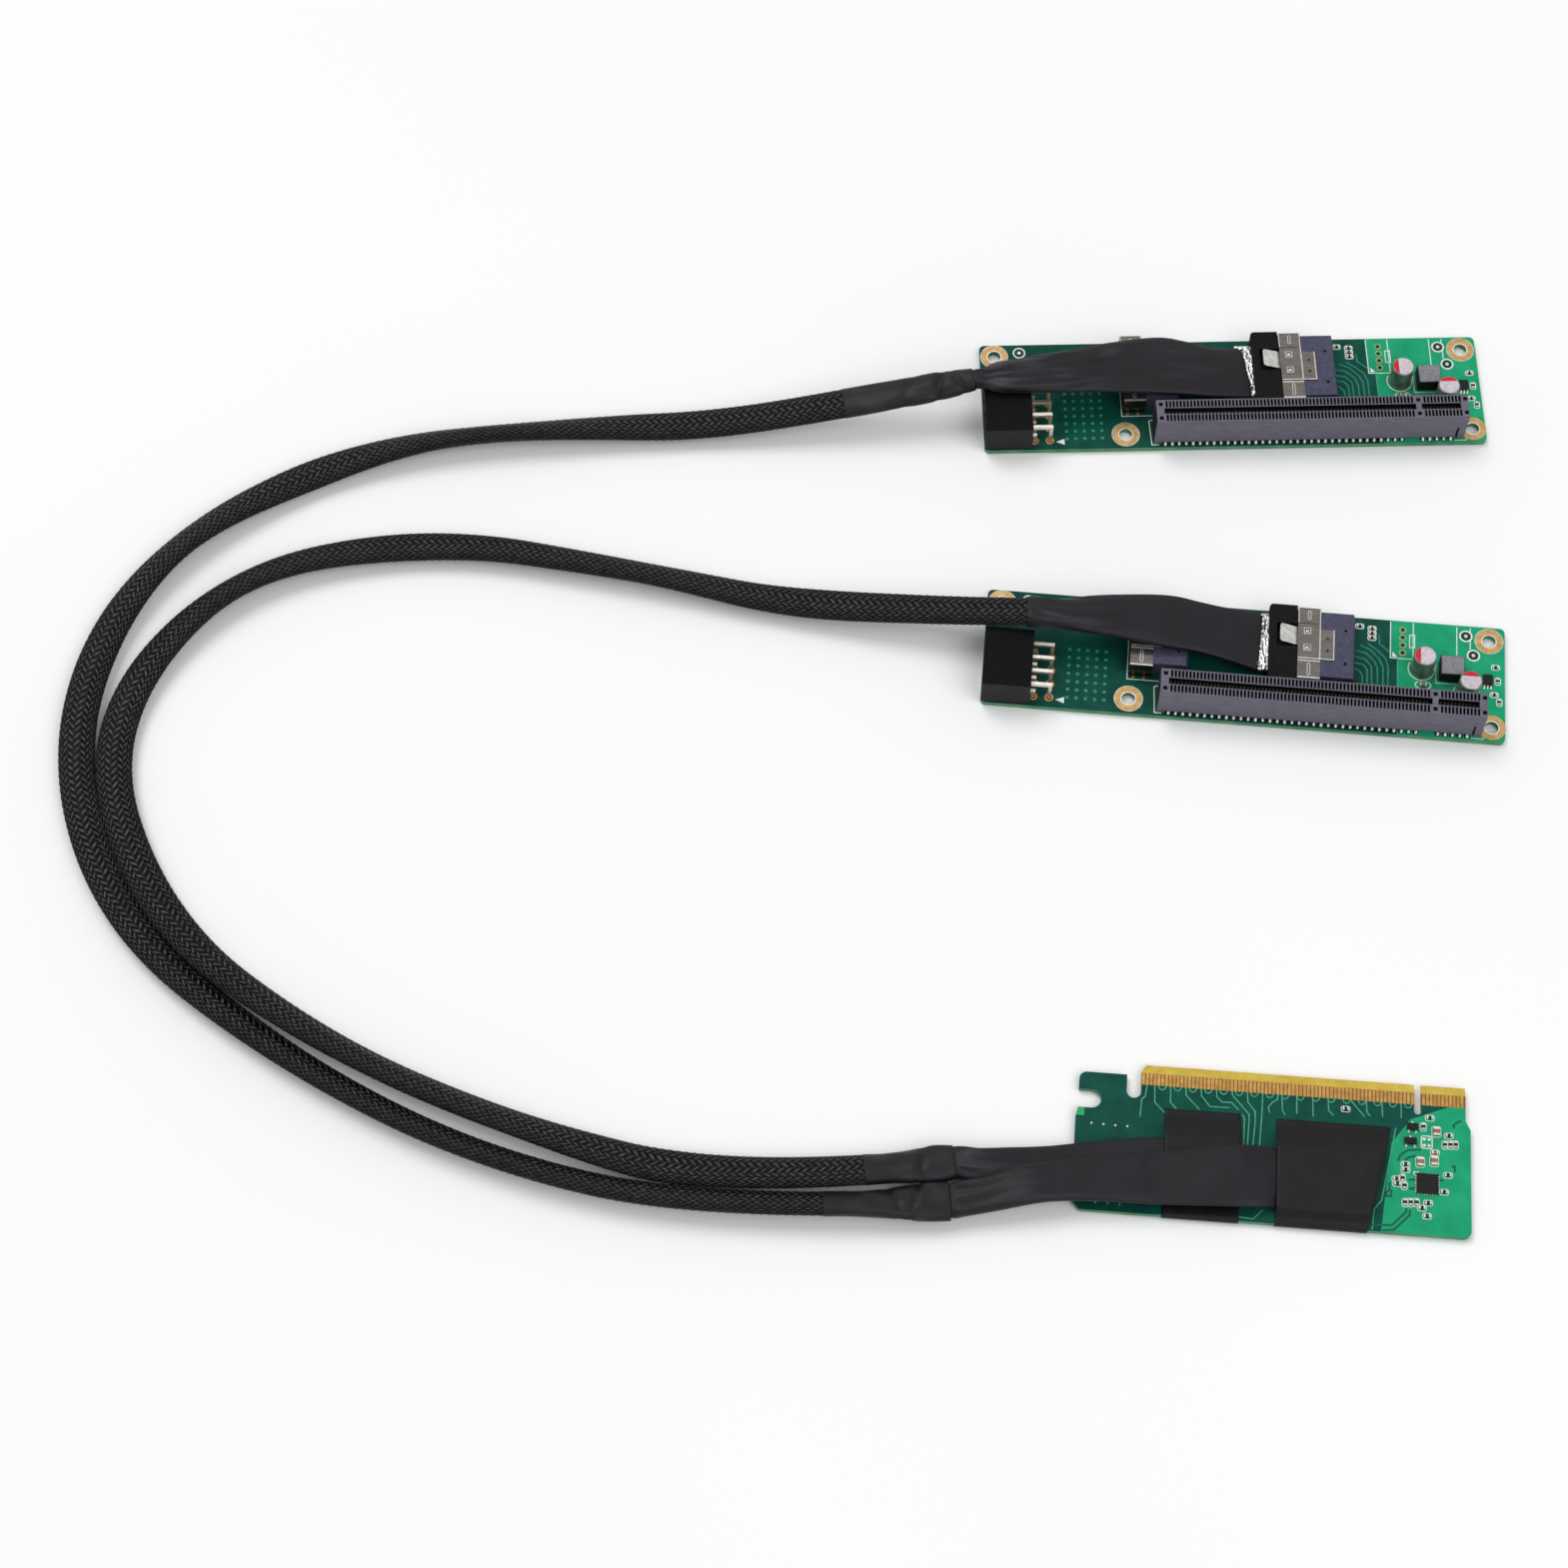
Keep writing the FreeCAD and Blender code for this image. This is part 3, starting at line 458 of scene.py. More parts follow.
def braid(number):
    """Flat sleeve of strands woven two over, two under, along the cable's line, and the core inside it."""
    line = LINES[number]
    s = np.arange(BRAID_START[number], line.length / MM - BRAID_END[number], STRAND_STEP) * MM
    middle, wide, tall, _ = line.frames(s, twist_at(number, line, s))
    a, b = BRAID_HALF_WIDTH * MM, BRAID_HALF_HEIGHT * MM
    table = np.linspace(0, FULL_TURN, GIRTH_STEPS + 1)
    reach = np.hypot(a * np.diff(np.sin(table)), b * np.diff(np.cos(table)))
    share = np.concatenate([[0], np.cumsum(reach)])
    girth = share[-1]
    share /= girth
    across = np.array([-0.5, 0.0, 0.5]) * STRAND_WIDTH * MM / girth
    crown = np.array([0.0, 1.0, 0.0]) * STRAND_CROWN * MM
    columns = len(across)
    points, faces, strip = [], [], []
    turns = s / (STRAND_TURN * MM)
    for way in (1, -1):
        for strand in range(STRANDS):
            phase = 2 * strand + way * 2 * STRANDS * turns
            weave = way * np.cos(FULL_TURN * (phase - 0.5) / 4)
            height = weave * WEAVE_DEPTH * MM
            lift = (1 + weave) / 2
            first = len(points) * len(s)
            for j in range(columns):
                angle = np.interp((strand / STRANDS + way * turns + across[j]) % 1.0, share, table)
                cos, sin = np.cos(angle)[:, None], np.sin(angle)[:, None]
                flat = wide * a * cos + tall * b * sin
                out = unit(wide * b * cos + tall * a * sin)
                points.append(middle + flat + out * (height + crown[j])[:, None])
                # The strip holds the place across a strand and how far it lies on top, for the painted
                # highlight of braid_look
                strip.append(np.stack([np.full(len(s), j / (columns - 1)), lift], axis=1))
            for j in range(columns - 1):
                left = first + j * len(s)
                right = left + len(s)
                for i in range(len(s) - 1):
                    faces.append((left + i, right + i, right + i + 1, left + i + 1))
    made = piece(
        "braid_%d" % number, np.concatenate(points), faces, STRAND_LOOK,
        strip=np.concatenate(strip),
    )
    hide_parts("braid_sleeve_%d" % number)
    inner = (STRAND_CROWN + WEAVE_DEPTH) * MM
    rest = s[::2]
    core = soft_tube(
        "cable_core_%d" % number, line, rest, np.full(len(rest), a - inner), np.full(len(rest), b - inner),
        CORE_LOOK, around=20, square=2.0, roll=twist_at(number, line, rest),
    )
    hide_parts("conductor_bundle_%d" % number)
    return made, core, s


# Soft black wraps
# Painted highlight for crease ridges, painted shade for crease hollows, and the grey of real dust specks
PAINTED_RIDGE_HIGHLIGHT, PAINTED_CREASE_SHADE, DUST_GREY = linear(70, 68, 74), linear(4, 4, 5), linear(74, 74, 78)


def cloth_look(name, dark, light, weave, paint_crease_light=True):
    """Matte black cloth or soft plastic with faint dust, with a painted highlight on its ridges and painted
    shade in its creases.
    """
    look = Look(name, rough=0.46, shine=0.2)
    body = look.tones(look.noise(9.0, 4.0), dark, light)
    if paint_crease_light:
        lift = look.axis(look.strip, "Y")
        # Painted highlight on raised ridges, then painted shade in the hollows, both read from the crease
        # height
        body = look.mixed(look.tones(lift, BLACK, WHITE, low=0.55, high=0.95), body, PAINTED_RIDGE_HIGHLIGHT)
        body = look.mixed(look.tones(lift, WHITE, BLACK, low=0.1, high=0.45), body, PAINTED_CREASE_SHADE)
    speck = look.tones(look.cells(2.6), WHITE, BLACK, low=0.0, high=0.035)
    look.paint(look.mixed(speck, body, DUST_GREY))
    look.bump(look.noise(1.2, 4.0, (0.25, 1, 1)), weave)
    return look


JACKET_LOOK = cloth_look("jacket_cloth", (17, 15, 20), (26, 24, 30), 0.08)
SHRINK_LOOK = cloth_look("shrink_tube", (17, 16, 20), (28, 26, 31), 0.07)
TAPE_LOOK = cloth_look("cloth_tape", (6, 6, 8), (13, 12, 14), 0.06, paint_crease_light=False)

# Flat jackets: x, front y, rear y, underside z, top z on the board
SLOT_JACKETS = {
    1: [
        (0.4, 13.3, 19.1, 11.9, 16.2), (4.3, 12.3, 21.6, 11.9, 15.6), (19.0, 11.9, 24.8, 11.7, 14.8),
        (36.0, 12.6, 29.2, 10.2, 13.0), (50.0, 12.8, 31.9, 8.8, 11.4), (57.0, 12.9, 31.3, 7.9, 10.6),
        (67.0, 13.2, 29.9, 5.8, 8.4), (76.3, 13.9, 31.4, 3.6, 6.2),
    ],
    2: [
        (20.0, 18.6, 27.9, 11.0, 15.4), (34.0, 18.1, 31.0, 10.2, 13.7), (49.0, 17.0, 33.3, 8.7, 11.8),
        (58.0, 16.7, 32.6, 7.9, 10.6), (66.0, 16.2, 32.6, 5.9, 8.5), (75.8, 14.6, 33.4, 3.6, 6.2),
    ],
}
HOST_JACKETS = {
    1: [
        (-45.6, -47.0, -37.6, 2.6, 7.4), (-38.0, -45.3, -35.6, 3.6, 8.0), (-28.0, -43.0, -32.5, 5.5, 9.1),
        (-20.5, -41.5, -30.7, 5.3, 8.6), (-10.3, -40.6, -28.4, 5.0, 8.0), (0.0, -40.2, -26.6, 4.7, 7.5),
        (5.0, -40.0, -25.6, 4.45, 7.1), (27.0, -38.8, -22.0, 4.45, 7.0), (34.6, -37.6, -21.2, 1.9, 4.3),
        (42.0, -37.4, -21.2, 1.9, 4.3),
    ],
    2: [
        (-41.0, -37.0, -28.0, 2.2, 6.8), (-33.5, -35.6, -26.9, 2.1, 5.7), (-23.4, -34.0, -25.5, 2.1, 4.8),
        (-13.0, -33.8, -23.4, 1.9, 4.25), (-3.0, -33.6, -21.7, 1.9, 4.15), (5.4, -33.5, -20.6, 1.9, 4.05),
        (14.0, -33.5, -20.6, 1.9, 4.05),
    ],
}
JACKET_STEP, JACKET_SEED = 0.8, 3.1
# Necks, where a jacket leaves its cable: half width, half height, how far it reaches back over or into the
# cable, crumple, degrees by which it is turned with the braid, and how far the jacket's plug end slants
SLOT_NECKS = {1: (2.6, 2.3, 6.0, 1.0, 0.0, -0.5), 2: (5.1, 2.75, 1.5, 0.5, -20.0, 0.0)}
HOST_NECKS = {1: (4.4, 2.1, 6.0, 0.4, 0.0, 0.0), 2: (4.2, 2.1, 6.0, 0.4, 0.0, 0.0)}
# Share of its size that a straight neck starts with, and the lengths of the turn and of the slant
NECK_TAPER, ROLL_FADE, LEAN_LEN = 0.62, 18.0, 12.0
# Soft waves, ridges and crumple: depth, how fast it fades from the neck, length, width and sharpness
JACKET_CREASES = [
    (0.25, 900.0, 16.0, 2.8, False), (1.5, 24.0, 26.0, 2.4, True), (0.8, 13.0, 8.0, 1.5, False),
]
CREASE_START = 4.0


def jacket(name, spot, rows, inner, outer, neck):
    """Flat jacket from inside a tube, past the cable's end and along a board."""
    half_width, half_height, reach_back, crumple, roll, lean = neck
    taper = 1.0 if roll else NECK_TAPER
    table = [(*at, half_width * t * MM, half_height * t * MM) for at, t in ((inner, taper), (outer, 1.0))]
    run = smooth_rows(table + [spot.row(*row) for row in rows], JACKET_STEP * MM)
    line = Line(run[:, :3])
    s = line.at
    out = np.maximum(s - reach_back * MM, 0)
    grown = crumple * eased(out / (CREASE_START * MM))
    creases = [
        (depth * grown * np.exp(-out / (fade * MM)), length, width, sharp)
        for depth, fade, length, width, sharp in JACKET_CREASES
    ]
    return soft_tube(
        name, line, s, run[:, 3], run[:, 4], JACKET_LOOK, around=80, square=3.0,
        roll=math.radians(roll) * (1 - eased(s / (ROLL_FADE * MM))), creases=creases,
        lean=lean * MM * eased(1 - (line.length - s) / (LEAN_LEN * MM)), seed=len(rows) * JACKET_SEED,
    )


# Tubes shrunk over the cables: length, half widths, half heights and folds (length, slant, depth, width)
HOST_TUBES = {
    1: (33, (5.2, 5.25, 5.1, 5.0, 5.0, 5.1), (2.8, 2.8, 2.7, 2.6, 2.6, 2.65),
        [(9.0, 1.5, 0.5, 0.9), (14.5, -2.0, 0.4, 1.4)]),
    2: (24, (4.6, 5.2, 5.0, 4.9, 4.9, 5.05), (2.6, 2.8, 2.7, 2.6, 2.6, 2.65), [(8.5, 1.0, 0.5, 1.0)]),
}
SLOT_TUBE_LEN = 38
SLOT_TUBE = ((5.1, 4.9, 4.85, 4.8, 4.3, 3.3), (2.65, 2.7, 2.7, 2.6, 2.6, 2.5))
SLOT_TUBE_FOLDS = [(-10.0, 1.4, 0.7, 1.2), (-5.0, -1.5, 0.5, 1.0), (-19.0, 2.0, 0.3, 1.6)]
TUBE_STEP = 0.6
# Waves of a tube: depth, length and width, and how far from the tube's ends they reach their depth
TUBE_WAVE, TUBE_WAVE_START = (0.4, 8.0, 2.2), 6.0
# How fast a tube takes up the cable's twist from its flat end
TWIST_RISE = 1.3
CORD_POINTS = 160


def shrink(name, number, start, end, widths, heights, folds, flat_at):
    """Tube shrunk over a cable between two lengths in millimetres, twisted with it but flat at one end."""
    line = LINES[number]
    s = np.arange(start, end, TUBE_STEP) * MM
    table = smooth_rows(np.stack([np.linspace(start, end, len(widths)), widths, heights], axis=1), 0.5)
    half_width = np.interp(s / MM, table[:, 0], table[:, 1]) * MM
    half_height = np.interp(s / MM, table[:, 0], table[:, 2]) * MM
    grown = eased(np.minimum(s - start * MM, end * MM - s) / (TUBE_WAVE_START * MM))
    depth, length, width = TUBE_WAVE
    return soft_tube(
        name, line, s, half_width, half_height, SHRINK_LOOK, around=48, square=2.2,
        roll=twist_at(number, line, s) * eased(TWIST_RISE * abs(s / MM - flat_at) / (end - start)),
        creases=[(depth * grown, length, width, False)], folds=folds, seed=start,
    )


for number in NUMBERS:
    line = LINES[number]
    made, core, s = braid(number)
    end = line.length / MM
    length, widths, heights, folds = HOST_TUBES[number]
    tube = shrink("host_tube_%d" % number, number, 0, length, widths, heights, folds, 0)
    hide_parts("host_shrink_%d" % number)
    if number == 1:
        folds = [(end + at, slant, depth, width) for at, slant, depth, width in SLOT_TUBE_FOLDS]
        tube = shrink("slot_tube_1", number, end - SLOT_TUBE_LEN, end, *SLOT_TUBE, folds, end)
        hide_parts("slot_shrink_1")
    neck = SLOT_NECKS[number]
    slot_wrap = jacket(
        "slot_jacket_soft_%d" % number, SPOTS[number], SLOT_JACKETS[number],
        line.place(line.length - neck[2] * MM), line.place(line.length), neck,
    )
    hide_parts("slot_jacket_%d" % number)
    neck = HOST_NECKS[number]
    host_wrap = jacket(
        "host_jacket_soft_%d" % number, HOST, HOST_JACKETS[number],
        line.place(neck[2] * MM), line.place(0.0), neck,
    )
    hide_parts("host_jacket_%d" % number)
    path = line.place(np.linspace(s[0], s[-1], CORD_POINTS))

# Hard materials
BEVEL_LEN = 2.4
FINGER_LOW = -5.75
TONGUE_LEFT = -0.05
# Depth of a board's coloured skin, above and below the pale laminate
SKIN = 0.02
# Lines that bound the bright pours: x, y and how far x moves on for each y
SLOT_POURS = [(112.5, 25.9, 0.0)]
# Corner of the piece left out of a slot board's pour, towards the slot
POUR_NOTCH = (114.6, 24.0)
HOST_POURS = [(65.1, -16.9, 0.108), (65.1, -16.9, 0.696), (69.9, -10.0, 2.35)]


def board_look(name, spot, top, pours, notch=None, tongue=False):
    """Green solder mask, brighter right of the pour lines, with pale laminate at the cut edges."""
    look = Look(name, rough=0.4, shine=0.09)
    place = spot.local(look)
    x, y, z = look.axis(place, "X"), look.axis(place, "Y"), look.axis(place, "Z")
    inside = None
    for x0, y0, lean in pours:
        line_x = look.math("ADD", look.math("MULTIPLY", look.math("SUBTRACT", y, y0), lean), x0)
        over = look.math("SUBTRACT", x, line_x)
        inside = over if inside is None else look.math("MINIMUM", inside, over)
    if notch:
        right_of = look.math("SUBTRACT", x, notch[0])
        behind = look.math("SUBTRACT", y, notch[1])
        inside = look.math("MINIMUM", inside, look.math("MAXIMUM", right_of, behind))
    grain = look.noise(5.0, 4.0)
    base = look.tones(grain, (8, 62, 52), (14, 78, 66))
    pour = look.tones(grain, (24, 146, 102), (34, 164, 118))
    edge = look.tones(grain, (62, 120, 88), (96, 150, 114))
    colour = look.mixed(look.math("GREATER_THAN", inside, 0.0), base, pour)
    off_middle = look.off(z, top - BOARD_TOP / 2)
    colour = look.mixed(look.math("GREATER_THAN", off_middle, BOARD_TOP / 2 - SKIN), edge, colour)
    if tongue:
        on_tongue = look.math("GREATER_THAN", x, TONGUE_LEFT)
        bare = look.tones(look.noise(3.0), (188, 158, 60), (214, 186, 86))
        gaps = look.tones(look.noise(1.5), (118, 78, 34), (146, 100, 46))
        for y_low, shade in ((FINGER_LOW, gaps), (-BEVEL_LEN, bare)):
            within = look.math("MULTIPLY", on_tongue, look.math("GREATER_THAN", y, y_low))
            colour = look.mixed(within, colour, shade)
    look.paint(colour)
    look.bump(look.cells(0.7), 0.01, strength=0.4)
    return look


GOLD = two_tone("gold_plate", (168, 134, 82), (196, 162, 112), 1.2, 0.36, metal=0.75, bump=0.01)
FINGER_GOLD = two_tone("finger_gold", (160, 120, 62), (190, 152, 90), 1.6, 0.32, metal=0.7, bump=0.01)
PIN_COPPER = two_tone("pin_copper", (176, 116, 66), (206, 146, 92), 0.6, 0.34, metal=0.7, bump=0.01)
RECEPTACLE_PLASTIC = two_tone(
    "receptacle_plastic", (60, 60, 80), (74, 74, 96), 1.5, 0.5, edge=0.12, bump=0.02
)
PLUG_PLASTIC = two_tone(
    "plug_plastic", (12, 12, 13), (21, 20, 22), 1.0, 0.5, shine=0.07, edge=0.2, bump=0.02
)
TIN = two_tone(
    "tinned_metal", (196, 190, 178), (232, 226, 214), 0.8, 0.28, metal=0.85, edge=0.12, bump=0.02
)
TIP_METAL = two_tone("tip_metal", (160, 152, 134), (196, 188, 170), 0.5, 0.3, metal=0.8)
SOLDER = two_tone("solder", (222, 221, 218), (246, 245, 242), 0.5, 0.3, metal=0.5, bump=0.02)
LATCH_STEEL = two_tone(
    "latch_steel", (176, 174, 171), (208, 206, 203), 1.2, 0.3, metal=0.6, edge=0.08, bump=0.01
)
SEAL_RUBBER = two_tone("seal_rubber", (16, 16, 16), (26, 26, 26), 0.6, 0.8, shine=0.1, bump=0.02)
WIRE = two_tone("wire_insulation", (40, 40, 44), (62, 62, 68), 1.0, 0.6, bump=0.02)
CHIP_BLACK = two_tone("chip_black", (15, 14, 16), (28, 26, 29), 0.5, 0.5, shine=0.15, edge=0.05, bump=0.01)
CERAMIC = two_tone("chip_ceramic", (126, 92, 80), (158, 120, 104), 0.5, 0.45, bump=0.01)
WHITE_PRINT = two_tone("white_printing", (212, 222, 214), (236, 242, 236), 0.8, 0.6)
TRACE_GREEN = two_tone("trace_green", (56, 146, 112), (84, 172, 138), 1.0, 0.4)
SOFT_TRACE = two_tone("soft_trace_green", (30, 114, 92), (46, 136, 112), 1.0, 0.4)
ROUTE_GREEN = two_tone("route_green", (10, 76, 60), (16, 92, 74), 1.0, 0.4)
CORNER_GREEN = two_tone("corner_green", (34, 150, 92), (52, 170, 108), 1.0, 0.4)
VIA_GREEN = two_tone("via_green", (30, 122, 92), (52, 148, 114), 0.5, 0.4)
MASK_DARK = two_tone("mask_dark", (8, 44, 36), (14, 58, 47), 0.6, 0.4)
# Copper inside an open hole, darkened as painted shade
HOLE_SHADE = two_tone("painted_hole_shade", (34, 20, 10), (62, 38, 18), 0.4, 0.6, shine=0.1)
# Near black used only as painted shade: in contact windows, on square holes and round the solder drops
SLOT_SHADE = two_tone("painted_slot_shade", (6, 6, 7), (11, 11, 12), 0.6, 0.8, shine=0.05)
CAN_METAL = two_tone(
    "can_metal", (96, 112, 102), (140, 152, 142), 1.5, 0.34, metal=0.55, bump=0.01, stretch=(1, 1, 0.2)
)
CAN_TOP = two_tone("can_top", (186, 177, 186), (210, 201, 209), 1.0, 0.5, bump=0.01)
CAN_RED = two_tone("can_red", (182, 26, 34), (206, 42, 48), 0.8, 0.5, bump=0.01)

INDUCTOR_CAP_Z = 5.85
CONTACT_SPRING_Z = 3.0
SLOT_TOP = 12.85
SLOT_MIDDLE_Y = 5.05
SLOT_INNER_HALF = 3.3
# Depth under the slot's top, and upward share of a face's direction, from where a layered look changes
MOUTH_DEPTH, UP_SHARE = 0.1, 0.7


def layered_look(name, rough, metal, shine, grain_size, upper, lower, edge, share, stretch=(1, 1, 1)):
    """Two grained colours, the upper one where share, made from the look, says so."""
    look = Look(name, rough, metal, shine)
    grain = look.noise(grain_size, 4.0, stretch)
    look.paint(look.mixed(share(look), look.tones(grain, *lower), look.tones(grain, *upper)))
    look.edges(edge)
    look.bump(grain, 0.02)
    return look


def above(height):
    return lambda look: look.math("GREATER_THAN", look.axis(look.place, "Z"), height * MM)


def turned_up(look):
    geometry = look.node("ShaderNodeNewGeometry")
    return look.math("GREATER_THAN", look.axis(geometry.outputs["Normal"], "Z"), UP_SHARE)


def shaded_inside_slot(number):
    """Share that is one down inside a card slot, where the plastic is painted near black as painted shade.
    """

    def share(look):
        place = SPOTS[number].local(look)
        off_middle = look.off(look.axis(place, "Y"), SLOT_MIDDLE_Y)
        narrow = look.math("LESS_THAN", off_middle, SLOT_INNER_HALF)
        deep = look.math("LESS_THAN", look.axis(place, "Z"), SLOT_TOP - MOUTH_DEPTH)
        return look.math("MULTIPLY", narrow, deep)

    return share


INDUCTOR = layered_look(
    "inductor_grey", 0.55, 0.0, 0.2, 0.7, ((112, 110, 118), (142, 140, 146)), ((12, 12, 13), (22, 22, 23)),
    0.1, above(INDUCTOR_CAP_Z),
)
# Slot contacts: tin tails low down, and the springs above CONTACT_SPRING_Z painted near black as painted
# shade in the windows
SLOT_CONTACTS = layered_look(
    "slot_contacts", 0.35, 0.75, 0.3, 0.5, ((14, 12, 10), (26, 22, 17)), ((218, 216, 212), (246, 244, 240)),
    0.2, above(CONTACT_SPRING_Z),
)
# Header: one black plastic, painted darker on faces that turn up and paler on the other faces, as painted
# shade and light
HEADER_PLASTIC = layered_look(
    "header_plastic", 0.5, 0.0, 0.05, 1.2, ((10, 10, 11), (17, 16, 18)), ((36, 35, 39), (48, 47, 51)),
    0.15, turned_up,
)
# Shell steel: steel tone on faces that turn up, a darker grey on the other faces
STEEL = layered_look(
    "shell_steel", 0.24, 0.85, 0.2, 0.5, ((98, 93, 88), (120, 115, 110)), ((46, 43, 40), (66, 62, 58)),
    0.08, turned_up, stretch=(0.12, 1, 1),
)
# Slot housing: purple-grey plastic outside, and the same plastic near black inside the slot as painted shade
SLOT_PLASTICS = {
    n: layered_look(
        "slot_plastic_%d" % n, 0.5, 0.0, 0.2, 0.9, ((8, 8, 9), (13, 13, 14)),
        ((92, 90, 103), (106, 104, 118)), 0.1, shaded_inside_slot(n), stretch=(0.25, 1, 1),
    )
    for n in NUMBERS
}


def foil_look():
    look = Look("crumpled_foil", rough=0.26, metal=0.9)
    look.paint(look.tones(look.noise(1.1, 4.0), (168, 168, 168), (242, 242, 240)))
    look.bump(look.cells(0.9, (1, 0.5, 1)), 0.6)
    return look


FOIL = foil_look()
BOARD_LOOKS = {
    n: board_look("board_green_%d" % n, SPOTS[n], BOARD_TOP, SLOT_POURS, POUR_NOTCH) for n in NUMBERS
}
CARD_LOOK = board_look("card_green", HOST, HOST_TOP, HOST_POURS, tongue=True)


def dress(node, look):
    """Give a CAD node its material."""
    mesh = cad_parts[node].data
    mesh.materials.clear()
    mesh.materials.append(look.material)


for number in NUMBERS:
    for node, look in {
        "slot_board": BOARD_LOOKS[number],
        "hole_rings": GOLD,
        "pcie_slot_housing": SLOT_PLASTICS[number],
        "slot_contacts": SLOT_CONTACTS,
        "power_header_housing": HEADER_PLASTIC,
        "power_header_pins": TIN,
        "receptacle_housing": RECEPTACLE_PLASTIC,
        "receptacle_shell": STEEL,
        "receptacle_contacts": FINGER_GOLD,
        "spare_receptacle_housing": RECEPTACLE_PLASTIC,
        "spare_receptacle_shell": STEEL,
        "capacitor_seals": SEAL_RUBBER,
        "inductor": INDUCTOR,
        "plug_body": PLUG_PLASTIC,
        "plug_latch": LATCH_STEEL,
        "plug_paddle_card": BOARD_LOOKS[number],
        "host_wire_ends": WIRE,
    }.items():
        dress("%s_%d" % (node, number), look)
dress("host_board", CARD_LOOK)
dress("host_edge_contacts", FINGER_GOLD)
dress("host_controller_chip", CHIP_BLACK)


MITRE_LIMIT = 0.4


class Pile:
    """Many small shapes on one board, kept as one mesh; kind picks a shape's material."""

    def __init__(self, spot):
        self.spot = spot
        self.points, self.faces, self.kinds = [], [], []
        self.lift = 0.0

    def raised(self, z):
        """Height of the next flat shape, a hair above the one before."""
        self.lift += LAYER_STEP
        return z + self.lift

    def add(self, points, faces, kind):
        start = len(self.points)
        self.points += [self.spot.point(*p) for p in points]
        self.faces += [tuple(start + i for i in face) for face in faces]
        self.kinds += [kind] * len(faces)

    def box(self, x, y, z, lx, ly, lz, kind=0):
        corners = [(x + i * lx, y + j * ly, z + k * lz) for k in (0, 1) for j in (0, 1) for i in (0, 1)]
        faces = [(0, 2, 3, 1), (4, 5, 7, 6), (0, 1, 5, 4), (2, 6, 7, 3), (0, 4, 6, 2), (1, 3, 7, 5)]
        self.add(corners, faces, kind)

    def fill(self, outline, z, kind=0):
        z = self.raised(z)
        self.add([(x, y, z) for x, y in outline], [tuple(range(len(outline)))], kind)

    def tile(self, x, y, z, lx, ly, kind):
        """Flat rectangle round a middle, apart from other flat shapes and so not raised."""
        corners = rectangle(x - lx / 2, y - ly / 2, x + lx / 2, y + ly / 2)[:4]
        self.add([(*corner, z) for corner in corners], [(0, 1, 2, 3)], kind)

    def disc(self, x, y, z, radius, kind=0, count=20):
        self.fill([turned(x, y, radius, FULL_TURN * i / count) for i in range(count)], z, kind)

    def band(self, points, z, kind):
        """Flat band between pairs of points."""
        z = self.raised(z)
        faces = [(i, i + 1, i + 3, i + 2) for i in range(0, len(points) - 2, 2)]
        self.add([(*point, z) for point in points], faces, kind)

    def ring(self, x, y, z, inner, outer, kind=0, first=0.0, last=360.0, count=32):
        points = []
        for i in range(count + 1):
            angle = math.radians(first + (last - first) * i / count)
            points += [turned(x, y, inner, angle), turned(x, y, outer, angle)]
        self.band(points, z, kind)

    def stroke(self, run, width, z, kind=0):
        """Flat line of a width through points, with mitred corners."""
        points = []
        ways = [(Vector(b) - Vector(a)).normalized() for a, b in zip(run, run[1:])]
        closed = run[0] == run[-1]
        for i, (x, y) in enumerate(run):
            into = ways[i - 1] if i or closed else ways[0]
            out = ways[i % len(ways)] if i < len(ways) or closed else into
            bend = (into + out).normalized()
            reach = width / 2 / max(MITRE_LIMIT, bend.dot(into))
            across, along = bend.y * reach, bend.x * reach
            points += [(x - across, y + along), (x + across, y - along)]
        self.band(points, z, kind)

    def lathe(self, x, y, profile, kind=0, count=40):
        points = []
        for radius, z in profile:
            points += [(*turned(x, y, radius, FULL_TURN * k / count), z) for k in range(count)]
        self.add(points, ring_faces(len(profile), count, capped=False), kind)

    def bead(self, x, y, z, rx, ry, height, kind=0, count=12, rings=4):
        """Rounded drop that stands on a face and narrows upwards."""
        points = []
        for r in range(rings):
            climb = r / rings
            narrow = (1 - climb**1.6) ** 0.8
            for k in range(count):
                c, d = turned(0, 0, narrow, FULL_TURN * k / count)
                points.append((x + rx * c, y + ry * d, z + height * climb))
        points.append((x, y, z + height))
        tip = len(points) - 1
        last = tip - count
        faces = ring_faces(rings, count, capped=False)
        faces += [(last + k, last + (k + 1) % count, tip) for k in range(count)]
        self.add(points, faces, kind)

    def make(self, name, looks, smooth=False):
        return piece(name, self.points, self.faces, looks, smooth=smooth, face_looks=self.kinds)


# Printing, copper and holes on a slot board
HOLES = [(4.2, 32.0), (139.9, 31.6), (140.6, 4.4), (40.7, 4.6)]
PIN_XS = (14.4, 18.8)
PIN_YS = [9.3 + (i - 1.5) * 4.2 for i in range(4)]
FAN_X = 116.0
FAN_YS = [25.9 + i * 2.44 for i in range(4)]
VIA_COLUMNS, VIA_ROWS = 5, 7
VIA_X, VIA_Y, VIA_PITCH = 23.8, 3.5, 2.54
FIDUCIALS = [(11.5, 33.2), (133.5, 32.7), (135.6, 26.7)]
# Radii of pads, holes and rings, and how far below its pad the painted shade of an open hole lies
VIA_R, FAN_HOLE_R, SPARE_PAD_R, PIN_HOLE_R, PIN_PAD_R = 0.52, 0.5, 0.45, 0.78, 1.25
FIDUCIAL_R, FIDUCIAL_MASK_R, FIDUCIAL_RING = 0.5, 1.42, (1.4, 1.85)
HOLE_SINK = 0.3
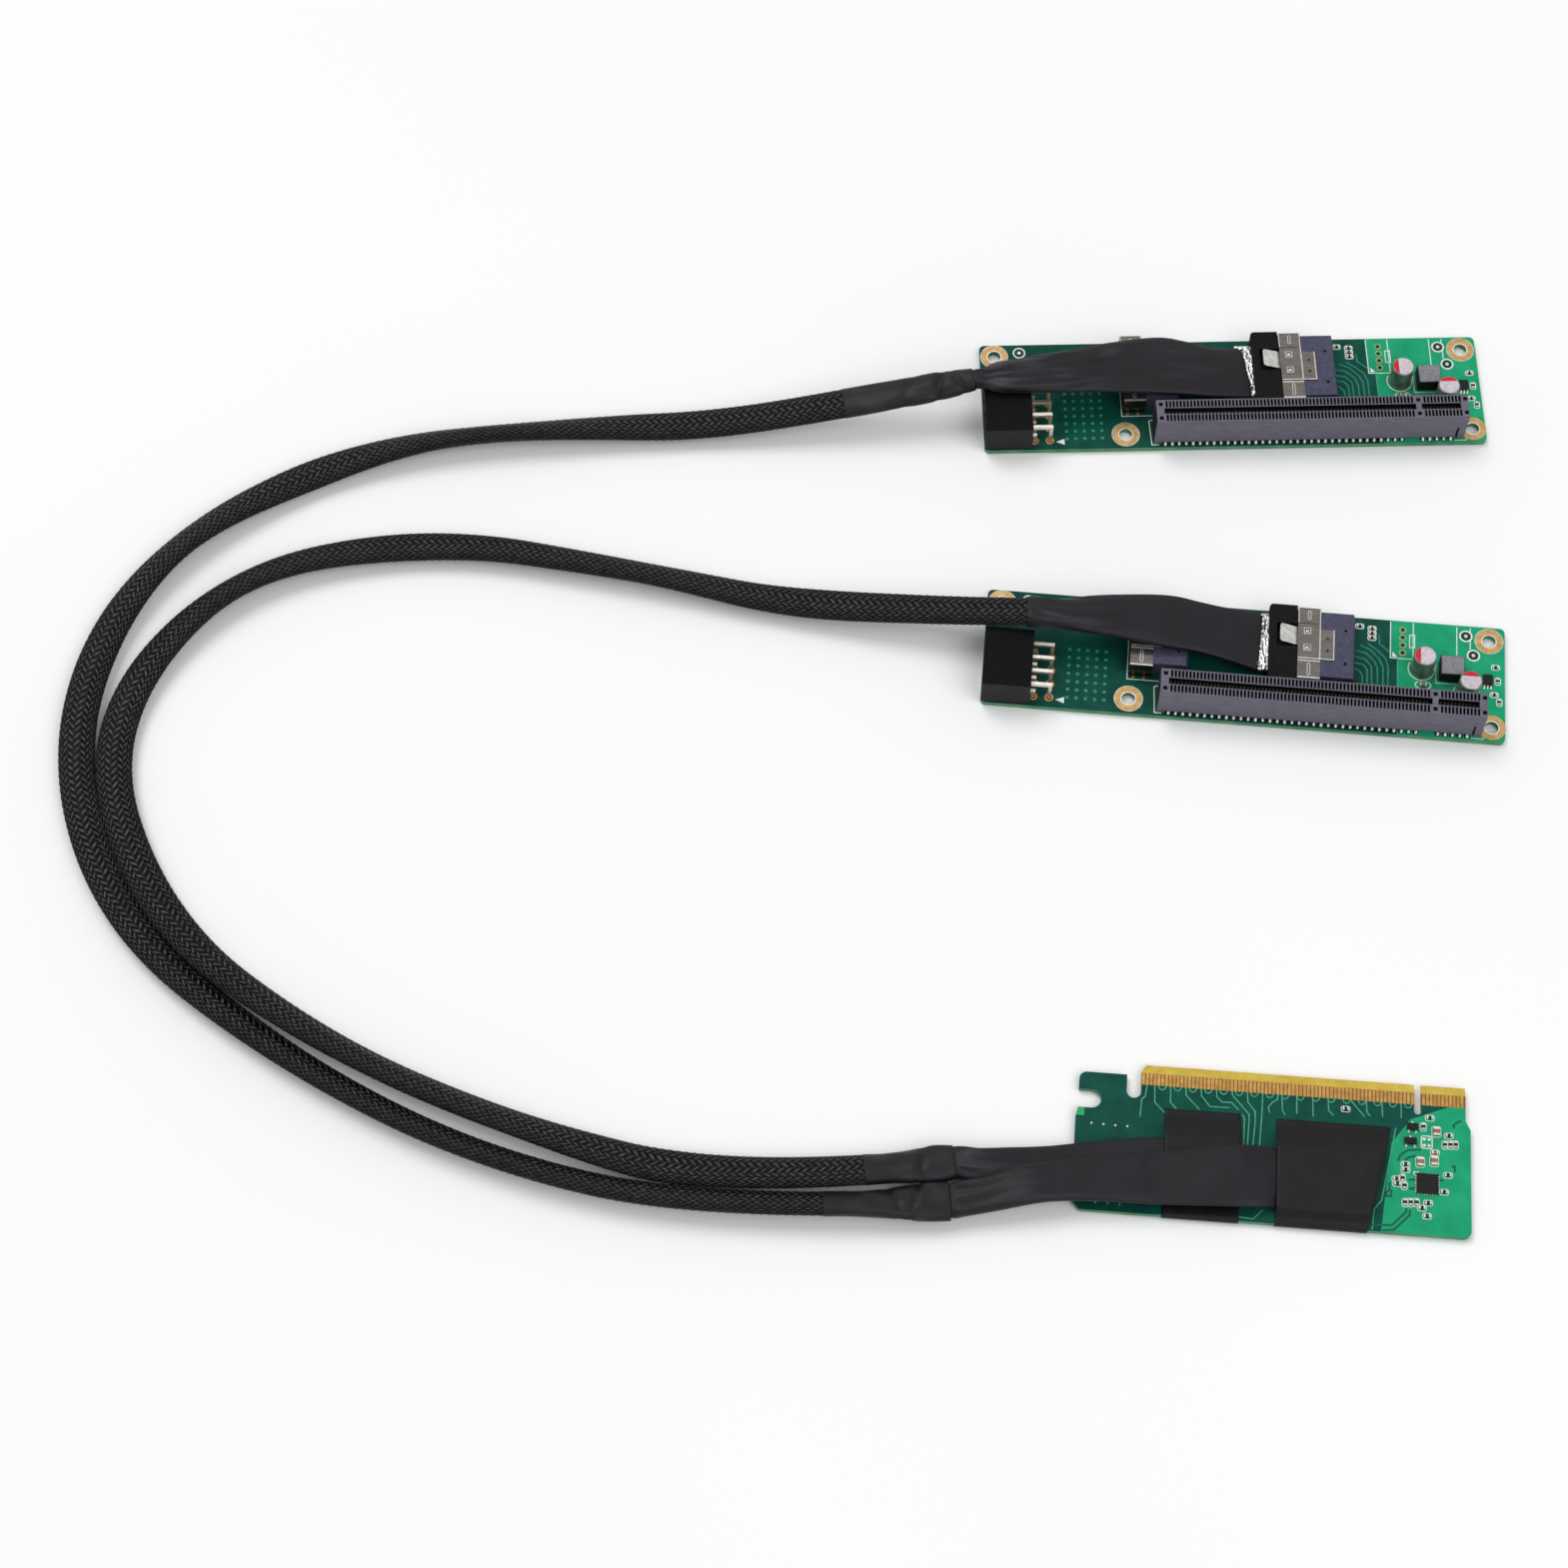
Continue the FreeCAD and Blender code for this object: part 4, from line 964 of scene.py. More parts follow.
# Rims of a mounting hole; the hole right of RIM_RIGHT has no outer one, since the slot's end covers it
HOLE_RIM, OUTER_RIM, RIM_RIGHT = (1.87, 2.2), (3.83, 4.05), 140.2
PRINT_WIDTH, FINE_PRINT, TRACE_WIDTH, POUR_LINE_WIDTH = 0.26, 0.18, 0.42, 0.3
TRACE_END_Y = 9.8
# Copper runs that bend from the receptacle to the slot
SLOT_TRACES = [
    [(102.8, 19.6), (104.0, 19.2), (104.9, 17.8), (105.0, TRACE_END_Y)],
    [(102.7, 21.5), (105.1, 21.2), (106.2, 19.6), (106.4, TRACE_END_Y)],
    [(102.8, 23.5), (105.6, 22.9), (107.4, 20.8), (107.7, TRACE_END_Y)],
    [(102.9, 25.4), (105.9, 24.8), (108.3, 22.4), (109.1, 20.0), (109.2, TRACE_END_Y)],
    [(104.2, 27.3), (107.1, 26.0), (109.6, 23.2), (110.6, 20.8), (110.7, TRACE_END_Y)],
    [(106.2, 28.0), (108.9, 26.1), (111.2, 23.8), (112.0, 21.2), (112.0, TRACE_END_Y)],
    [(109.5, 30.9), (109.5, 28.2), (112.4, 25.7)],
]
# Printed shapes: whether it is filled, and its points
PRINTED = [
    (True, [(20.6, 2.5), (23.0, 1.5), (23.0, 3.5)]),
    (False, [(40.0, 30.0), (40.0, 10.8), (48.8, 10.8)]),
    (False, [(48.8, 9.4), (47.6, 9.0), (48.0, 0.9), (50.0, 0.9)]),
    (False, [(134.9, 0.6), (138.2, 0.6), (138.5, 1.2)]),
    (False, [(112.6, 35.6), (112.6, 24.0), (119.0, 24.0)]),
    (False, [(118.9, 35.6), (118.9, 24.0)]),
    (False, rectangle(117.9, 27.7, 119.3, 31.7)),
    (True, [(113.2, 26.0), (113.2, 24.4), (114.5, 24.4)]),
    (False, [(131.0, 35.4), (131.0, 26.3)]),
    (False, [(134.7, 35.4), (134.7, 28.5)]),
    (False, [(125.2, 22.8), (125.2, 17.1), (131.6, 17.1)]),
]
# Cans: x, y and the way that the red part of the top faces; half of its angle, in degrees
CANS, RED_HALF = [(121.2, 21.2, 180.0), (133.7, 14.5, 90.0)], 62.0
# Side of a can, as radius and height, and the printed circle round it: radii, kind, first and last degree
CAN_PROFILE = [
    (3.15, BOARD_TOP), (3.15, 2.7), (2.87, 3.0), (2.87, 3.25), (3.15, 3.6), (3.15, 8.8), (3.03, 9.12),
    (2.75, 9.3),
]
CAN_CIRCLE = (3.5, 3.75, 0, 150, 390)
REGULATOR = (138.2, 17.4, 2.6, 3.1, 1.1)
SLOT_X = 48.6
TAIL_X0, TAIL_PITCH, TAIL_COUNT = 3.2, 2.0, 42
KEY_X, KEY_WIDTH = 74.8, 1.6
# Solder drops: half widths and height, how much they differ, y, and y and radius of the painted shadow round
# them
DROP_SIZE, DROP_SWELL, DROP_Y, DROP_SHADE_Y, DROP_SHADE_R = (0.46, 0.55, 1.1), 0.22, 1.0, 1.15, 0.85
# Places of the drops in the pattern that makes them differ: step, shift between boards, row
SWELL_STEP, SWELL_SHIFT, SWELL_ROW = 1.7, 5.3, 0.4
CONTACT_XS = [3.0 + i for i in range(71)] + [76.6 + i for i in range(11)]
CHANNEL_HALF = 0.95
TIP_WIDTH, TIP_OUT, TIP_DEEP, TIP_TALL = 0.4, 0.25, 3.9, 1.7
# Painted shade at both ends of each contact window, as flat dark tiles on its bevels: distances from the
# slot's middle
WINDOW_ENDS, WINDOW_WIDTH = ((1.22, 1.46), (3.14, 3.42)), 0.6
# Square holes in the slot's top, in line with the contact rows, drawn as flat dark tiles of painted shade
SQUARE_HOLE_XS, HOLE_SIDE, CONTACT_ROW = (1.3, KEY_X, 88.2), 1.15, 2.3
SPARE_PADS = [(41.7, 11.45), (44.6, 11.4)]
SHELL_XS = (40.3, 86.2)
SHELL_TOP = 7.6
SHELL_RAISED = 7.75
# Folded edges of a steel shell, drawn in a paler steel as a painted highlight: x past the shell's left, y,
# length, width and foot
SHELL_HEMS = [
    (0.05, 12.1, 6.2, 0.55, SHELL_TOP), (0.05, 17.45, 6.2, 0.45, SHELL_TOP),
    (0.05, 18.15, 5.9, 0.4, SHELL_RAISED), (5.95, 18.15, 0.32, 11.2, SHELL_RAISED),
    (9.78, 18.2, 0.32, 9.6, SHELL_RAISED), (6.3, 18.2, 3.48, 0.32, SHELL_RAISED),
    (0.05, 29.6, 0.25, 4.75, SHELL_TOP), (6.0, 29.6, 0.25, 4.75, SHELL_TOP),
]
HEM_TALL = 0.1
# Long loops pressed into the shell, with their radius and line width, and frames of its hook windows
SHELL_LOOPS, LOOP_R, LOOP_WIDTH = [(3.1, 13.4, 16.6), (3.1, 30.9, 33.1)], 0.36, 0.2
SHELL_WINDOWS, FRAME_HALF, FRAME_WIDTH = [(2.6, 27.0), (2.6, 21.75)], 0.88, 0.22
TILE_LIFT = 0.01


def middled(size, places):
    """Boxes of one size from their middles: x, y and the three sizes."""
    lx, ly, lz = size
    return [(x - lx / 2, y - ly / 2, lx, ly, lz) for x, y in places]


FLAT_CHIPS = [(104.0, 33.3), (107.45, 32.85), (107.45, 31.35), (107.45, 29.85), (141.7, 23.4), (141.3, 14.7)]
UPRIGHT_CHIPS = [(142.3, 19.0), (142.7, 12.4)]
CHIPS = middled((1.5, 0.8, 0.5), FLAT_CHIPS) + middled((0.8, 1.5, 0.5), UPRIGHT_CHIPS)
BROWN_CHIP = middled((1.9, 1.2, 1.0), [(121.7, 16.1)])[0]
# Printed arcs beside the brown chip: distance from it, inner and outer radius
ARC_GAP, ARC_RADII = 0.3, (0.75, 1.05)
# Metal caps of a chip part: share of its length, height over its body's; distance and cut of its outline
CAP_SHARE, CAP_TALL, OUTLINE_GAP, OUTLINE_CUT = 0.24, 1.03, 0.35, 0.35


def chip(pile, x, y, lx, ly, lz, z, body=0):
    """Chip part with a metal cap at each end of its longer side."""
    long = max(lx, ly)
    cap = CAP_SHARE * long
    caps = lz * CAP_TALL
    for start, length, tall, kind in (
        (cap, long - 2 * cap, lz, body), (0.0, cap, caps, 1), (long - cap, cap, caps, 1),
    ):
        if ly >= lx:
            pile.box(x, y + start, z, lx, length, tall, kind)
        else:
            pile.box(x + start, y, z, length, ly, tall, kind)


def round_outline(pile, x, y, lx, ly, z, gap=OUTLINE_GAP, width=PRINT_WIDTH):
    """Printed outline with cut corners round a chip."""
    x0, y0, x1, y1 = x - gap, y - gap, x + lx + gap, y + ly + gap
    cut = OUTLINE_CUT
    pile.stroke(
        [(x0 + cut, y0), (x1 - cut, y0), (x1, y0 + cut), (x1, y1 - cut), (x1 - cut, y1), (x0 + cut, y1),
         (x0, y1 - cut), (x0, y0 + cut), (x0 + cut, y0)],
        width, z,
    )


def slot_board_printing(number):
    z = BOARD_TOP + PRINT_LIFT
    ink = Pile(SPOTS[number])
    for filled, run in PRINTED:
        if filled:
            ink.fill(run, z)
        else:
            ink.stroke(run, PRINT_WIDTH, z)
    for x, y, _ in CANS:
        ink.ring(x, y, z, *CAN_CIRCLE)
    for x, y in FIDUCIALS:
        ink.ring(x, y, z, *FIDUCIAL_RING)
    for x, y, lx, ly, _ in CHIPS:
        round_outline(ink, x, y, lx, ly, z)
    x, y, lx, ly, _ = BROWN_CHIP
    for side, first in ((x - ARC_GAP, 90), (x + lx + ARC_GAP, -90)):
        ink.ring(side, y + ly / 2, z, *ARC_RADII, first=first, last=first + 180, count=12)
    ink.make("printing_%d" % number, WHITE_PRINT)


def slot_board_copper(number):
    z = BOARD_TOP + COPPER_LIFT
    copper = Pile(SPOTS[number])
    for i in range(VIA_COLUMNS):
        for j in range(VIA_ROWS):
            copper.disc(VIA_X + i * VIA_PITCH, VIA_Y + j * VIA_PITCH, z, VIA_R, 0, 14)
    for run in SLOT_TRACES:
        copper.stroke(run, TRACE_WIDTH, z, 1)
    copper.stroke([POUR_NOTCH, (POUR_NOTCH[0], TRACE_END_Y)], POUR_LINE_WIDTH, z, 2)
    copper.make("copper_%d" % number, [VIA_GREEN, SOFT_TRACE, TRACE_GREEN])


def slot_board_pads(number):
    z = BOARD_TOP + PAD_LIFT
    pads = Pile(SPOTS[number])
    for x, y in HOLES:
        pads.ring(x, y, z, *HOLE_RIM, 1)
        if x < RIM_RIGHT:
            pads.ring(x, y, z, *OUTER_RIM, 2)
    for x in PIN_XS:
        for y in PIN_YS:
            pads.ring(x, y, z, PIN_HOLE_R, PIN_PAD_R, 0)
            pads.disc(x, y, z - HOLE_SINK, PIN_HOLE_R, 3)
    for y in FAN_YS:
        pads.disc(FAN_X, y, z - HOLE_SINK, FAN_HOLE_R, 3)
    for x, y in SPARE_PADS:
        pads.disc(x, y, z, SPARE_PAD_R, 0)
    for x, y in FIDUCIALS:
        pads.disc(x, y, BOARD_TOP + PRINT_LIFT, FIDUCIAL_MASK_R, 4)
        pads.disc(x, y, z, FIDUCIAL_R, 1)
    pads.make("pads_%d" % number, [PIN_COPPER, TIN, LATCH_STEEL, HOLE_SHADE, MASK_DARK])


def solder_beads(number):
    """Drops of solder, with painted shadow round their feet, on the tails along the slot's front."""
    drops = Pile(SPOTS[number])
    for i in range(TAIL_COUNT):
        x = TAIL_X0 + i * TAIL_PITCH
        if abs(x - KEY_X) < KEY_WIDTH:
            continue
        spot = Vector((i * SWELL_STEP, number * SWELL_SHIFT, SWELL_ROW))
        swell = 1.0 + DROP_SWELL * noise.noise(spot)
        drops.bead(SLOT_X + x, DROP_Y, BOARD_TOP, *(swell * size for size in DROP_SIZE))
        # Painted shadow disc on the board round the drop's foot
        drops.disc(SLOT_X + x, DROP_SHADE_Y, BOARD_TOP + COPPER_LIFT, DROP_SHADE_R, 1, 16)
    drops.make("solder_%d" % number, [SOLDER, SLOT_SHADE], smooth=True)


def contact_tips(number):
    """Tips of the slot's contacts, and flat dark tiles of painted shade on the bevels of their windows and
    on the square holes beside them.
    """
    tips = Pile(SPOTS[number])
    z = SLOT_TOP + TILE_LIFT
    for x in CONTACT_XS:
        for y in (SLOT_MIDDLE_Y - CHANNEL_HALF, SLOT_MIDDLE_Y + CHANNEL_HALF - TIP_OUT):
            tips.box(SLOT_X + x - TIP_WIDTH / 2, y, SLOT_TOP - TIP_DEEP, TIP_WIDTH, TIP_OUT, TIP_TALL)
        for side in (-1, 1):
            for near, far in WINDOW_ENDS:
                y = SLOT_MIDDLE_Y + side * (near + far) / 2
                tips.tile(SLOT_X + x, y, z, WINDOW_WIDTH, far - near, 1)
    for x in SQUARE_HOLE_XS:
        for y in (SLOT_MIDDLE_Y - CONTACT_ROW, SLOT_MIDDLE_Y + CONTACT_ROW):
            tips.tile(SLOT_X + x, y, z, HOLE_SIDE, HOLE_SIDE, 1)
    tips.make("contact_tips_%d" % number, [TIP_METAL, SLOT_SHADE])


def shell_hems(number):
    """Folded edges of the steel shells, loops pressed into them and frames of their windows, in a paler
    steel as a painted highlight.
    """
    hems = Pile(SPOTS[number])
    z = SHELL_RAISED + TILE_LIFT
    half_turn = [math.radians(angle) for angle in range(0, 181, 30)]
    for left in SHELL_XS:
        for x, y, length, width, foot in SHELL_HEMS:
            hems.box(left + x, y, foot, length, width, HEM_TALL)
        for x, front, rear in SHELL_LOOPS:
            loop = [turned(left + x, rear, LOOP_R, angle) for angle in half_turn]
            loop += [turned(left + x, front, LOOP_R, angle + math.pi) for angle in half_turn]
            hems.stroke(loop + loop[:1], LOOP_WIDTH, z)
        for x, y in SHELL_WINDOWS:
            x0, x1 = left + x - FRAME_HALF, left + x + FRAME_HALF
            hems.stroke(rectangle(x0, y - FRAME_HALF, x1, y + FRAME_HALF), FRAME_WIDTH, z)
    # Paler latch steel on all of them: a painted highlight
    hems.make("shell_hems_%d" % number, LATCH_STEEL)


# Leads of the regulator: x past its left side, width, and y, z, length and height of each step
REGULATOR_LEADS, LEAD_WIDTH = (0.2, 1.1, 2.0), 0.4
LEAD_STEPS = [(-0.5, 0.25, 0.55, 0.3), (-1.1, 0.0, 0.7, 0.28)]
LEAD_GAP = 0.1


def slot_board_chips(number):
    parts = Pile(SPOTS[number])
    for row in CHIPS:
        chip(parts, *row, BOARD_TOP)
    chip(parts, *BROWN_CHIP, BOARD_TOP, body=2)
    made = parts.make("chips_%d" % number, [CHIP_BLACK, TIN, CERAMIC])
    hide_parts("chip_components_%d" % number)
    x, y, lx, ly, lz = REGULATOR
    power = Pile(SPOTS[number])
    power.box(x, y, BOARD_TOP + LEAD_GAP, lx, ly, lz - LEAD_GAP)
    for lead in REGULATOR_LEADS:
        for out, up, length, tall in LEAD_STEPS:
            power.box(x + lead, y + out, BOARD_TOP + up, LEAD_WIDTH, length, tall, 1)
    chip_made = power.make("regulator_%d" % number, [CHIP_BLACK, TIN])
    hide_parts("regulator_chip_%d" % number)


def capacitors(number):
    """Aluminium cans with a crimp near the base and a printed top, red on one side."""
    cans = Pile(SPOTS[number])
    for x, y, side in CANS:
        cans.lathe(x, y, CAN_PROFILE)
        rim, top = CAN_PROFILE[-1]
        red, white = (side - RED_HALF, 2 * RED_HALF, 16), (side + RED_HALF, 360 - 2 * RED_HALF, 30)
        for kind, (first, span, count) in ((2, red), (1, white)):
            angles = [math.radians(first + span * i / count) for i in range(count + 1)]
            cans.fill([turned(x, y, rim, angle) for angle in angles], top, kind)
    made = cans.make("cans_%d" % number, [CAN_METAL, CAN_TOP, CAN_RED], smooth=True)
    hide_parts("capacitor_cans_%d" % number)


# Foil band between a jacket's end and its plug: first x, last x, front y and rear y
FOIL_SPANS = {1: (73.6, 78.3, 14.2, 31.9), 2: (75.2, 78.3, 14.9, 33.1)}
FOIL_LOW, FOIL_HIGH = 3.8, 6.0
FOIL_STEP, FOIL_CRINKLE, FOIL_SEED = 0.25, 0.3, 5.0
# Its creases: length, width and sharpness
FOIL_CREASES = [(1.6, 0.6, True), (0.7, 1.1, False)]


def foil(number):
    x0, x1, front, rear = FOIL_SPANS[number]
    rows = [SPOTS[number].row(x, front, rear, FOIL_LOW, FOIL_HIGH) for x in (x0, x1)]
    run = smooth_rows(rows, FOIL_STEP * MM)
    line = Line(run[:, :3])
    crinkle = np.full(len(run), FOIL_CRINKLE)
    made = soft_tube(
        "foil_%d" % number, line, line.at, run[:, 3], run[:, 4], FOIL, around=120, square=3.0,
        creases=[(crinkle, *crease) for crease in FOIL_CREASES], seed=FOIL_SEED * number,
    )
    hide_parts("foil_band_%d" % number)


for number in NUMBERS:
    slot_board_printing(number)
    slot_board_copper(number)
    slot_board_pads(number)
    solder_beads(number)
    contact_tips(number)
    shell_hems(number)
    slot_board_chips(number)
    capacitors(number)
    foil(number)

# Host card: printing, traces and small parts
HOST_TRACES = [
    [(1.5, -5.7), (1.1, -8.9), (0.2, -9.8), (-0.1, -14.8)],
    [(3.5, -5.7), (3.6, -10.4), (6.2, -13.1)],
    [(7.6, -5.7), (7.7, -10.1), (9.7, -12.4)],
    [(11.6, -5.7), (11.7, -7.8), (15.2, -11.5)],
    [(15.6, -5.7), (15.7, -7.7), (18.0, -10.5), (23.0, -10.4)],
    [(19.6, -5.7), (19.7, -7.6), (21.1, -9.0), (23.5, -8.9), (25.4, -10.8)],
    [(23.6, -5.7), (23.8, -6.9), (28.2, -11.9), (28.2, -13.4), (27.9, -20.6)],
    [(27.6, -5.7), (27.8, -8.5), (29.7, -10.9), (29.8, -13.7), (29.3, -20.6)],
    [(26.3, -12.0), (27.0, -13.0), (26.9, -20.6)],
    [(31.6, -5.7), (31.5, -11.4), (31.0, -20.6)],
    [(35.6, -5.7), (35.4, -7.2), (34.3, -7.9), (33.1, -9.5), (33.5, -11.0)],
    [(36.6, -5.7), (36.8, -10.1), (37.5, -11.3)],
    [(40.5, -5.7), (40.5, -10.7)],
    [(44.6, -5.7), (44.8, -11.2)],
    [(48.6, -5.7), (48.8, -9.2), (50.1, -10.4)],
    [(54.4, -5.7), (58.1, -10.1)],
    [(58.6, -5.7), (58.7, -8.9), (59.6, -9.8)],
    [(62.6, -5.7), (62.8, -9.8)],
    [(67.6, -5.7), (67.6, -9.8)],
    [(66.2, -12.6), (62.6, -32.9), (60.7, -35.4), (60.2, -41.0)],
    [(23.4, -40.1), (29.7, -40.6), (32.2, -37.9)],
]
# Stubs behind the edge contacts: first x, pitch, number and the bent line of one
STUB_X, STUB_STEP, STUB_COUNT = 4.5, 4.0, 17
STUB = [(0.0, -5.7), (0.2, -6.5), (0.9, -6.9), (1.6, -6.5), (1.9, -5.7)]
CARD_TRACE, CARD_ROUTE, STUB_WIDTH, CARD_VIA_R = 0.3, 0.5, 0.28, 0.3
HOST_VIAS = [
    (-12.6, -17.5), (-9.5, -17.6), (-6.4, -17.7), (-3.3, -17.7), (-10.8, -39.3), (-7.6, -39.3),
    (-4.5, -39.4),
]
POUR_ROUTES = [
    [(66.8, -21.7), (67.4, -20.0), (69.3, -18.6), (72.7, -18.1)],
    [(68.5, -21.5), (69.7, -20.4), (71.4, -20.0)],
    [(60.1, -39.7), (65.2, -39.4), (68.9, -35.5), (68.9, -34.5)],
    [(62.7, -41.0), (65.7, -40.6), (69.8, -36.3), (69.8, -34.9)],
    [(64.6, -27.7), (64.6, -29.9), (63.8, -30.5), (63.8, -31.6), (65.0, -31.5), (65.1, -29.8)],
    [(80.6, -22.2), (81.4, -22.1), (81.4, -23.7)],
    [(81.4, -11.6), (81.1, -10.8), (82.4, -9.6), (83.2, -9.4)],
    [(77.0, -26.1), (78.5, -26.2)], [(69.5, -26.7), (71.4, -26.5)], [(69.7, -29.1), (71.4, -28.9)],
]
TRANSISTORS = [(68.9, -13.0, 3.2, 1.7, 1.1), (68.2, -17.0, 3.5, 1.7, 1.1)]
FLAT_PASSIVES = [
    (75.0, -9.2), (79.9, -13.8), (68.7, -22.5), (68.7, -24.0), (66.4, -26.7), (66.6, -28.0), (79.6, -24.7),
    (78.6, -29.4), (74.5, -32.7), (72.9, -34.2), (74.2, -36.3), (53.2, -8.4),
]
UPRIGHT_PASSIVES = [
    (73.3, -11.8), (78.9, -16.4), (80.3, -16.3), (81.6, -16.2), (67.9, -26.4), (68.4, -28.4), (68.6, -33.0),
    (70.0, -32.9), (71.5, -32.8),
]
BROWN_PASSIVES = middled((1.6, 2.2, 0.8), [(76.7, -12.9), (72.5, -21.6), (76.1, -21.1)])
BROWN_PASSIVES += middled((1.6, 0.85, 0.55), [(76.3, -18.7)])
PASSIVES = middled((1.6, 0.85, 0.55), FLAT_PASSIVES) + middled((0.85, 1.6, 0.55), UPRIGHT_PASSIVES)
EMPTY_PLACE = (72.8, -17.7, 2.8, 3.4)
BARE_CORNER = [(-16.35, -13.4), (-14.6, -13.3), (-14.6, -15.5), (-16.7, -15.6)]
CONTROLLER = (71.5, -30.2, 5.6, 5.3)
# Printed corner mark at the controller: distances off its rear left corner
MARK = [(-0.6, -0.4), (-0.6, 0.5), (0.6, 0.5)]
# Legs of the controller: number on a side, first one, pitch and sizes; length of legs and leads under a body
LEG_COUNT, LEG_FIRST, LEG_PITCH = 7, 0.45, 0.72
LEG_WIDE, LEG_LONG, LEG_TALL, LEG_UNDER = 0.3, 0.4, 0.2, 0.05
# Leads of a transistor: sizes, distance of the outer ones and of the body from both ends
WIRE_WIDE, WIRE_LONG, WIRE_TALL, WIRE_END, BODY_END = 0.5, 0.75, 0.3, 0.4, 0.2
# Bare pads of the empty place: sizes, and distances from its sides
PAD_SIZE, PAD_INSET = (0.8, 0.7, 0.08), (0.35, 0.5)


def card_copper():
    z = HOST_TOP + COPPER_LIFT
    copper = Pile(HOST)
    for run in HOST_TRACES:
        copper.stroke(run, CARD_TRACE, z)
    for run in POUR_ROUTES:
        copper.stroke(run, CARD_ROUTE, z, 2)
    for i in range(STUB_COUNT):
        copper.stroke([(STUB_X + i * STUB_STEP + x, y) for x, y in STUB], STUB_WIDTH, z)
    for x, y in HOST_VIAS:
        copper.disc(x, y, z, CARD_VIA_R, 1, 12)
    copper.fill(BARE_CORNER, z, 3)
    copper.make("card_copper", [TRACE_GREEN, LATCH_STEEL, ROUTE_GREEN, CORNER_GREEN])


def card_printing():
    z = HOST_TOP + PRINT_LIFT
    ink = Pile(HOST)
    for x, y, lx, ly, _ in PASSIVES + BROWN_PASSIVES:
        round_outline(ink, x, y, lx, ly, z, width=FINE_PRINT)
    round_outline(ink, *EMPTY_PLACE, z, gap=0.0)
    left, front, _, deep = CONTROLLER
    ink.stroke([(left + x, front + deep + y) for x, y in MARK], PRINT_WIDTH, z)
    ink.make("card_printing", WHITE_PRINT)


def card_parts():
    parts = Pile(HOST)
    for part in PASSIVES:
        chip(parts, *part, HOST_TOP)
    for part in BROWN_PASSIVES:
        chip(parts, *part, HOST_TOP, body=2)
    made = parts.make("card_passives", [CHIP_BLACK, TIN, CERAMIC])
    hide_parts("host_passives")
    packs = Pile(HOST)
    for x, y, lx, ly, lz in TRANSISTORS:
        packs.box(x + BODY_END, y, HOST_TOP + LEAD_GAP, lx - 2 * BODY_END, ly, lz - LEAD_GAP)
        front, rear = y + LEG_UNDER - WIRE_LONG, y + ly - LEG_UNDER
        for across, along in (
            (WIRE_END, front), (lx - WIRE_END - WIRE_WIDE, front), ((lx - WIRE_WIDE) / 2, rear),
        ):
            packs.box(x + across, along, HOST_TOP, WIRE_WIDE, WIRE_LONG, WIRE_TALL, 1)
    made = packs.make("card_transistors", [CHIP_BLACK, TIN])
    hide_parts("host_transistors")
    legs = Pile(HOST)
    x, y, wide, deep = CONTROLLER
    for i in range(LEG_COUNT):
        step = LEG_FIRST + i * LEG_PITCH
        for out in (LEG_UNDER - LEG_LONG, deep - LEG_UNDER):
            legs.box(x + step, y + out, HOST_TOP, LEG_WIDE, LEG_LONG, LEG_TALL)
        for out in (LEG_UNDER - LEG_LONG, wide - LEG_UNDER):
            legs.box(x + out, y + step - LEG_WIDE / 2, HOST_TOP, LEG_LONG, LEG_WIDE, LEG_TALL)
    x, y, wide, deep = EMPTY_PLACE
    for across in (PAD_INSET[0], wide - PAD_INSET[0] - PAD_SIZE[0]):
        for along in (PAD_INSET[1], deep - PAD_INSET[1] - PAD_SIZE[1]):
            legs.box(x + across, y + along, HOST_TOP, *PAD_SIZE)
    legs.make("controller_pads", TIN)


card_copper()
card_printing()
card_parts()

# Tape folded round the card's front edge over each cable end: y of that edge and of the fold's upper end,
# and front y, rear y and height of the part below the card
HOST_FRONT, TAPE_FOLD, UNDER_FRONT, TAPE_UNDER, TAPE_LOW = -41.4, -41.0, -39.4, -14.0, 0.03
TAPE_THICK, TAPE_INNER = 0.25, 0.18
# Lengths over which the tape climbs onto a cable, rows above and below the card, and width of a column
TAPE_RAMP, TAPE_REAR_RAMP, TAPE_ROWS, UNDER_ROWS, TAPE_COLUMN = 3.6, 8.0, 64, 6, 0.7
WRINKLE, WRINKLE_ACROSS, WRINKLE_ALONG = 0.12, 5, 3
# Outer side of the fold, as y and z, round the card's front edge, and inner side back to below the card
FOLD_OUTSIDE = [(-41.55, 1.95), (-41.65, 1.55), (-41.65, 0.45), (-41.5, 0.07), (TAPE_FOLD, TAPE_LOW)]
FOLD_INSIDE = [(-41.38, 1.75), (-41.38, HOST_LOW), (TAPE_UNDER, 0.23)]
# Each tape: left x, right x at the rear and at the front, rear y, and the cable's front y, rear y and height
TAPES = {
    1: (35.3, 64.9, 59.0, -12.6, -40.6, -13.4, 2.5),
    2: (6.3, 26.0, 26.0, -12.0, -36.8, -12.8, 2.2),
}


def tape_top(rear, over_front, over_rear, height, x):
    """Upper side of the tape at one x, from the rear edge over the cable to the front fold."""
    run = []
    for y in np.linspace(rear, TAPE_FOLD, TAPE_ROWS):
        lift = min(eased((over_rear - y) / TAPE_REAR_RAMP), eased((y - over_front) / TAPE_RAMP)) * height
        spot = Vector((x / WRINKLE_ACROSS, y / WRINKLE_ALONG, height))
        lift += WRINKLE * max(0.0, noise.noise(spot))
        run.append((y, HOST_TOP + TAPE_THICK + lift))
    return run


